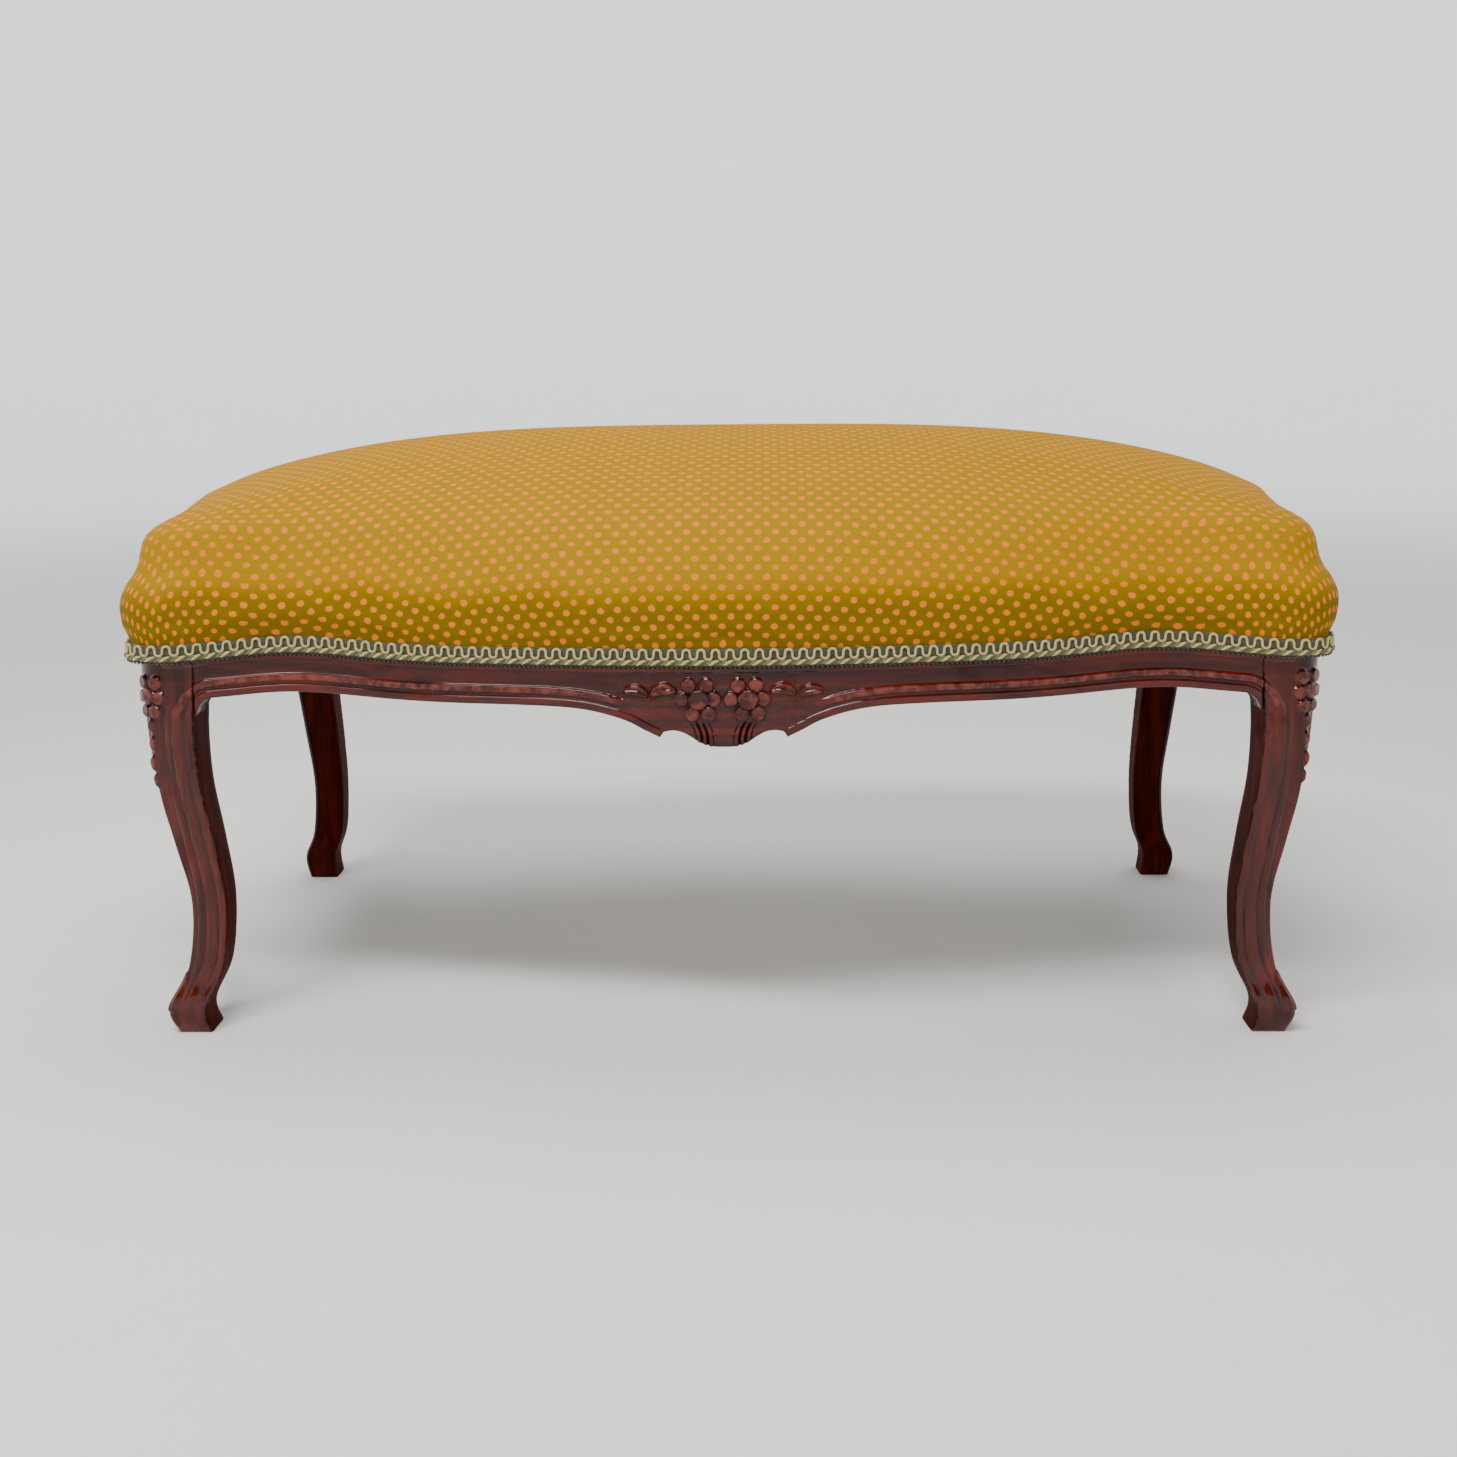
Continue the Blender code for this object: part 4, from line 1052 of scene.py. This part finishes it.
trial = seat.copy()
trial.data = seat.data.copy()
bpy.context.scene.collection.objects.link(trial)
trial.data.vertices.foreach_set("co", start.astype(np.float32).ravel())
group = trial.vertex_groups.new(name="tacked")
for index in np.flatnonzero(target[:, 2] < 0.322):
    group.add([int(index)], 1.0, "REPLACE")
cloth = trial.modifiers.new("cloth", "CLOTH")
cloth.settings.quality = 6
cloth.settings.mass = 0.25
cloth.settings.tension_stiffness = 18
cloth.settings.compression_stiffness = 14
cloth.settings.bending_stiffness = 0.6
cloth.settings.use_pressure = True
cloth.settings.uniform_pressure_force = 4.0
cloth.settings.effector_weights.gravity = 0.0
cloth.settings.vertex_group_mass = "tacked"
for number in range(1, 21):
    bpy.context.scene.frame_set(number)
swollen = points_of(trial.evaluated_get(bpy.context.evaluated_depsgraph_get()).data)
bpy.data.objects.remove(trial, do_unlink=True)
bpy.context.scene.frame_set(1)
move = swollen - start
far = np.linalg.norm(move, axis=1, keepdims=True)
move = move * np.minimum(1.0, SWELL_CAP / np.maximum(far, 1e-9))
shaped = start + move
print("simulation moved the skin up to", round(float(far.max()) * 1000, 1), "mm, mean",
      round(float(far.mean()) * 1000, 1), "mm")

# %% [markdown]
# ## Pulls in the cloth
#
# Every tack draws the cloth in a little, and a few harder pulls leave short folds that run out from
# the braid. They are pressed into the skin as soft dents, deepest at the tacked edge.

# %% Press the tack pulls and folds into the wall
cloth_flat = np.empty(len(seat.data.vertices) * 3, np.float32)
seat.data.attributes["cloth"].data.foreach_get("vector", cloth_flat)
FOLDS = [(0.006, -1, 0.3195, 0.034, 0.0035, 0.0030), (-0.022, -1, 0.3245, 0.018, 0.0030, 0.0016),
         (0.105, -1, 0.3330, 0.016, 0.0035, 0.0012), (-0.410, -1, 0.3300, 0.006, 0.0120, 0.0022),
         (0.398, -1, 0.3260, 0.010, 0.0060, 0.0014), (-0.060, 1, 0.3210, 0.026, 0.0040, 0.0020)]
angle = np.arctan2(shaped[:, 1] / 0.247, shaped[:, 0] / 0.470)
near_edge = ease(shaped[:, 2], 0.334, 0.312) * ease(shaped[:, 2], 0.2975, 0.304)
pull = -0.00050 * near_edge * (0.5 + 0.5 * np.cos(angle * 96 + 2.0 * np.sin(angle * 5)))
for x, side, z, wide, tall_fold, deep in FOLDS:
    on_side = np.sign(shaped[:, 1]) == side
    bend = z - 0.25 * (shaped[:, 0] - x) ** 2 / wide
    sideways, above = (shaped[:, 0] - x) / wide, (shaped[:, 2] - bend) / tall_fold
    dent = np.exp(-sideways ** 2 - above ** 2)
    crest = np.exp(-sideways ** 2 - (above - 1.9) ** 2)
    pull = pull + on_side * (0.6 * crest - dent) * deep
shaped = shaped + normals * pull[:, None]
seat.data.vertices.foreach_set("co", shaped.astype(np.float32).ravel())
seat.data.update()
print("folds:", len(FOLDS))

# %% Smooth the skin once, then close it underneath
rounded = seat.modifiers.new("rounded", "SUBSURF")
rounded.levels = 1
rounded.render_levels = 1
smooth_mesh = bpy.data.meshes.new_from_object(seat.evaluated_get(bpy.context.evaluated_depsgraph_get()))
bpy.data.objects.remove(seat, do_unlink=True)
bm = bmesh.new()
bm.from_mesh(smooth_mesh)
lip = [e for e in bm.edges if e.is_boundary]
for inset, height in ((0.0012, None), (0.0012, 0.3352)):
    made = bmesh.ops.extrude_edge_only(bm, edges=lip)["geom"]
    for v in made:
        if isinstance(v, bmesh.types.BMVert):
            if height is None:
                away = Vector((v.co.x, v.co.y * 1.6, 0.0)).normalized()
                corner = math.hypot(abs(v.co.x) - 0.445, abs(v.co.y) - 0.210)
                v.co -= away * (inset + 0.008 * math.exp(-(corner / 0.045) ** 2))
            else:
                v.co.z = height
    lip = [e for e in made if isinstance(e, bmesh.types.BMEdge) and e.is_boundary]
bmesh.ops.contextual_create(bm, geom=lip)
seat = made_piece(bm, "domed_seat", cover_cloth, 0.000001)
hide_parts("seat_cover", "wadding", "stuffing")
print("seat:", len(seat.data.polygons), "faces")

# %% [markdown]
# ## The gimp braid
#
# Gimp is woven on a narrow loom: a dark green ground, a pale cord laid over it in a serpentine, and
# a twisted cord of green and gold along the bottom with tiny dark loops under it. Each cord
# is its own line round the seat with a round section, so the braid casts real shadows.

# %% Finish the yarns of the braid
def make_yarn(name, dark, light, scale):
    yarn = Finish(name)
    threads = yarn.noise(yarn.place(), scale, 3.0, 0.6)
    fibres = yarn.noise(yarn.place(), scale * 5, 2.0)
    colour = yarn.mix(threads.step(0.34, 0.66), dark, light)
    colour = yarn.mix(fibres.step(0.5, 0.8) * 0.3, colour, tuple(min(1.0, value * 1.6) for value in light))
    return yarn.done(Base_Color=colour, Roughness=0.75, Sheen_Weight=0.2,
                     Normal=yarn.bump(threads * 0.5 + fibres * 0.5, 0.0003, 0.8))


ground_yarn = make_yarn("gimp_ground_yarn", (0.010, 0.012, 0.006), (0.060, 0.066, 0.026), 900.0)
pale_yarn = make_yarn("gimp_pale_yarn", (0.290, 0.215, 0.070), (0.600, 0.480, 0.200), 1500.0)
green_yarn = make_yarn("gimp_green_yarn", (0.045, 0.060, 0.026), (0.170, 0.190, 0.085), 1300.0)
deep_green_yarn = make_yarn("gimp_deep_green_yarn", (0.020, 0.028, 0.014), (0.085, 0.100, 0.050), 1300.0)
gold_yarn = make_yarn("gimp_gold_yarn", (0.420, 0.230, 0.040), (0.760, 0.520, 0.150), 1300.0)
print("yarns ready")

# %% Lines that follow the seat's edge
BRAID_BASE, SCALLOP = 0.2955, 0.0106
edge_walk = np.concatenate([[0.0], np.cumsum(edge_lengths)])
SCALLOPS = round(EDGE_LENGTH / SCALLOP)


def round_edge(count, out, height):
    """Evenly spaced points round the seat, moved out and raised by numbers or arrays."""
    walk = np.linspace(0, EDGE_LENGTH, count, endpoint=False)
    place = np.interp(walk, edge_walk, np.arange(len(edge) + 1))
    spot = on_loop(edge, place)
    away = on_loop(outward(edge), place)
    away /= np.linalg.norm(away, axis=1, keepdims=True)
    rise = lift(spot[:, 0]) * ease(np.abs(spot[:, 1]), 0.12, 0.17)
    plan = spot + away * np.reshape(out, (-1, 1)) + on_loop(corner_padding(edge), place)
    return np.column_stack([plan, rise + height])


def corded(name, line, thick, finish, sides=1):
    """A closed cord of round section along a line of points."""
    curve = bpy.data.curves.new(name, "CURVE")
    curve.dimensions = "3D"
    curve.bevel_depth = thick / 2
    curve.bevel_resolution = sides
    spline = curve.splines.new("POLY")
    spline.points.add(len(line) - 1)
    spline.points.foreach_set("co", np.column_stack([line, np.ones(len(line))]).ravel())
    spline.use_cyclic_u = True
    drawn = bpy.data.objects.new(name, curve)
    bpy.context.scene.collection.objects.link(drawn)
    mesh = bpy.data.meshes.new_from_object(drawn.evaluated_get(bpy.context.evaluated_depsgraph_get()))
    bpy.data.objects.remove(drawn, do_unlink=True)
    bm = bmesh.new()
    bm.from_mesh(mesh)
    return made_piece(bm, name, finish, 0.000001)


print("scallops round the seat:", SCALLOPS)

# %% Lay the braid's ground
GROUND_POINTS = 4 * SCALLOPS
profile = [(-0.0046, 0.0006), (-0.0030, 0.0008), (-0.0026, 0.0030), (-0.0028, 0.0075), (-0.0026, 0.0118),
           (-0.0034, 0.0134), (-0.0046, 0.0136)]
rings = [round_edge(GROUND_POINTS, np.full(GROUND_POINTS, out), BRAID_BASE + tall) for out, tall in profile]
scallop_turn = np.arange(GROUND_POINTS) * (2 * math.pi / 4)
for number in (5, 6):
    rings[number][:, 2] += 0.0004 * np.cos(scallop_turn)
rings.append(rings[0])
table = np.stack([np.concatenate([ring, ring[:1]]) for ring in rings])
bm = counted_grid(GROUND_POINTS, len(rings) - 1)
lay(bm, table[None])
braid = made_piece(bm, "gimp_ground", ground_yarn, 0.000005)
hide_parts("gimp_braid")
print(braid.name, len(braid.data.polygons), "faces")

# %% Lay the cords over it
WAVE_POINTS = 16 * SCALLOPS
turn = np.arange(WAVE_POINTS) * (2 * math.pi / 16)
sway = np.sin(2 * turn) * 0.00085
wave = round_edge(WAVE_POINTS, -0.0020 + 0.00025 * np.cos(turn), BRAID_BASE + 0.0098 - 0.0036 * np.cos(turn))
ahead_wave = np.roll(wave, -1, 0) - np.roll(wave, 1, 0)
ahead_wave[:, 2] = 0
ahead_wave /= np.linalg.norm(ahead_wave, axis=1, keepdims=True)
corded("gimp_serpentine", wave + ahead_wave * sway[:, None], 0.0020, pale_yarn)

STRAND_POINTS = 11 * SCALLOPS
turn = np.arange(STRAND_POINTS) * (2 * math.pi / 11)
for number, finish in enumerate((green_yarn, deep_green_yarn, gold_yarn)):
    at = turn + number * 2 * math.pi / 3
    height = BRAID_BASE + 0.0038 + 0.00115 * np.sin(at)
    strand = round_edge(STRAND_POINTS, -0.0020 + 0.00105 * np.cos(at), height)
    corded(f"gimp_twist_{number + 1}", strand, 0.0021, finish)

LOOP_POINTS = 6 * 3 * SCALLOPS
turn = np.arange(LOOP_POINTS) * (2 * math.pi / 6)
loops = round_edge(LOOP_POINTS, np.full(LOOP_POINTS, -0.0024), BRAID_BASE + 0.0009 + 0.0010 * np.cos(turn))
corded("gimp_loops", loops, 0.0012, ground_yarn, 0)

# %% [markdown]
# ## Under the seat
#
# From below the seat shows its making: jute webbing strained over the frame, each strip passing over
# one crossing strip and under the next, and hessian stretched over the webbing to hold the stuffing.

# %% Weave the jute
def make_jute(name, pitch, dark, light):
    jute = Finish(name)
    x, y, _ = jute.parts(jute.place())
    over = (x * (2 * math.pi / pitch)).sine()
    under_yarn = (y * (2 * math.pi / pitch)).sine()
    woven = over * under_yarn
    slub = jute.noise(jute.place(), 320.0, 4.0)
    colour = jute.mix((woven * 0.5 + 0.5) * 0.6 + slub * 0.5, dark, light)
    return jute.done(Base_Color=colour, Roughness=0.9,
                     Normal=jute.bump(woven * 0.5 + slub * 0.6, 0.0006, 0.8))


webbing_jute = make_jute("webbing_jute", 0.0032, (0.200, 0.130, 0.060), (0.480, 0.350, 0.180))
hessian_jute = make_jute("hessian_jute", 0.0024, (0.250, 0.180, 0.090), (0.560, 0.430, 0.250))
print("jute ready")

# %% Strain the webbing, over and under
WEBBING_WIDTH, WEBBING_INSET = 0.050, 0.014
CROSS_STRIPS = [-0.33, -0.22, -0.11, 0.0, 0.11, 0.22, 0.33]
LONG_STRIPS = [-0.10, 0.0, 0.10]
WEB_MIDDLE, WEB_SWAY, WEB_THICK = 0.33195, 0.00088, 0.0014


def strain_strip(name, middle, axis, crossings, parity):
    """A strip along an axis that passes over and under the strips it crosses."""
    tries = [middle - WEBBING_WIDTH / 2, middle, middle + WEBBING_WIDTH / 2]
    reach = min(float(reach_along(abs(value), 1 - axis)) for value in tries) - WEBBING_INSET
    bm = counted_grid(64, 6)
    along = np.linspace(-reach, reach, 65)
    sway = np.zeros(65)
    for number, crossing in enumerate(crossings):
        sign = 1 if (number + parity) % 2 else -1
        sway += sign * np.exp(-((along - crossing) / 0.036) ** 4)
    across = middle + np.linspace(-0.5, 0.5, 7) * WEBBING_WIDTH
    plan = [np.broadcast_to(along, (7, 65)), np.broadcast_to(across[:, None], (7, 65))]
    tall = np.broadcast_to(WEB_MIDDLE + WEB_SWAY * sway, (7, 65))
    lay(bm, np.stack([plan[axis], plan[1 - axis], tall], axis=-1)[None])
    bmesh.ops.recalc_face_normals(bm, faces=bm.faces)
    bmesh.ops.solidify(bm, geom=list(bm.faces), thickness=WEB_THICK)
    centre = sum(v.co.z for v in bm.verts) / len(bm.verts)
    bmesh.ops.translate(bm, verts=bm.verts, vec=(0, 0, WEB_MIDDLE - centre))
    strip = made_piece(bm, f"strained_{name}", webbing_jute)
    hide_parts(name)
    return strip


for number, x in enumerate(CROSS_STRIPS, 1):
    strain_strip(f"webbing_cross_{number}", x, 1, LONG_STRIPS, number)
for number, y in enumerate(LONG_STRIPS, 1):
    strain_strip(f"webbing_long_{number}", y, 0, CROSS_STRIPS, number + 1)
print("strips:", len(CROSS_STRIPS) + len(LONG_STRIPS))

# %% Stretch the hessian
hessian_loop = moved_out(edge, -0.012)
bm = bmesh.new()
bmesh.ops.create_circle(bm, cap_ends=True, segments=len(edge), radius=1.0)
for v, spot in zip(bm.verts, hessian_loop):
    v.co = (spot[0], spot[1], 0.33392)
made = bmesh.ops.extrude_face_region(bm, geom=list(bm.faces))["geom"]
raised = [v for v in made if isinstance(v, bmesh.types.BMVert)]
bmesh.ops.translate(bm, verts=raised, vec=(0, 0, 0.0006))
hessian = made_piece(bm, "stretched_hessian", hessian_jute)
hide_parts("hessian")
next_spot = np.roll(hessian_loop, -1, axis=0)
shoelace = hessian_loop[:, 0] * next_spot[:, 1] - hessian_loop[:, 1] * next_spot[:, 0]
hessian_area = abs(float(shoelace.sum())) / 2

# %% [markdown]
# ## Corner blocks and screws
#
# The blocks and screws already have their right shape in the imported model, so they only get a
# finish: sawn beech with its short flecks, and plain steel with fine turning marks.

# %% Finish the blocks and screws
def make_beech():
    beech = Finish("sawn_beech")
    grain = beech.noise(beech.place((18.0, 160.0, 160.0)), 1.0, 4.0)
    flecks = beech.noise(beech.place((260.0, 900.0, 500.0)), 1.0, 2.0).step(0.60, 0.72)
    colour = beech.mix(grain, (0.360, 0.210, 0.100), (0.560, 0.370, 0.200))
    colour = beech.mix(flecks * 0.5, colour, (0.250, 0.130, 0.060))
    return beech.done(Base_Color=colour, Roughness=0.65 + grain * 0.15, Normal=beech.bump(grain, 0.0006, 0.5))


def make_steel():
    steel = Finish("plain_steel")
    marks = steel.noise(steel.place((900.0, 900.0, 2600.0)), 1.0, 2.0)
    colour = steel.mix(marks, (0.300, 0.290, 0.280), (0.460, 0.450, 0.430))
    return steel.done(Base_Color=colour, Metallic=1.0, Roughness=0.32 + marks * 0.14,
                      Normal=steel.bump(marks, 0.0001, 0.5))


beech_finish, steel_finish = make_beech(), make_steel()
for start_of_name, finish in (("corner_block", beech_finish), ("screw_", steel_finish)):
    for name in node_names:
        if name.startswith(start_of_name):
            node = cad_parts[name]
            node.data.materials.clear()
            node.data.materials.append(finish)
print("blocks and screws finished")
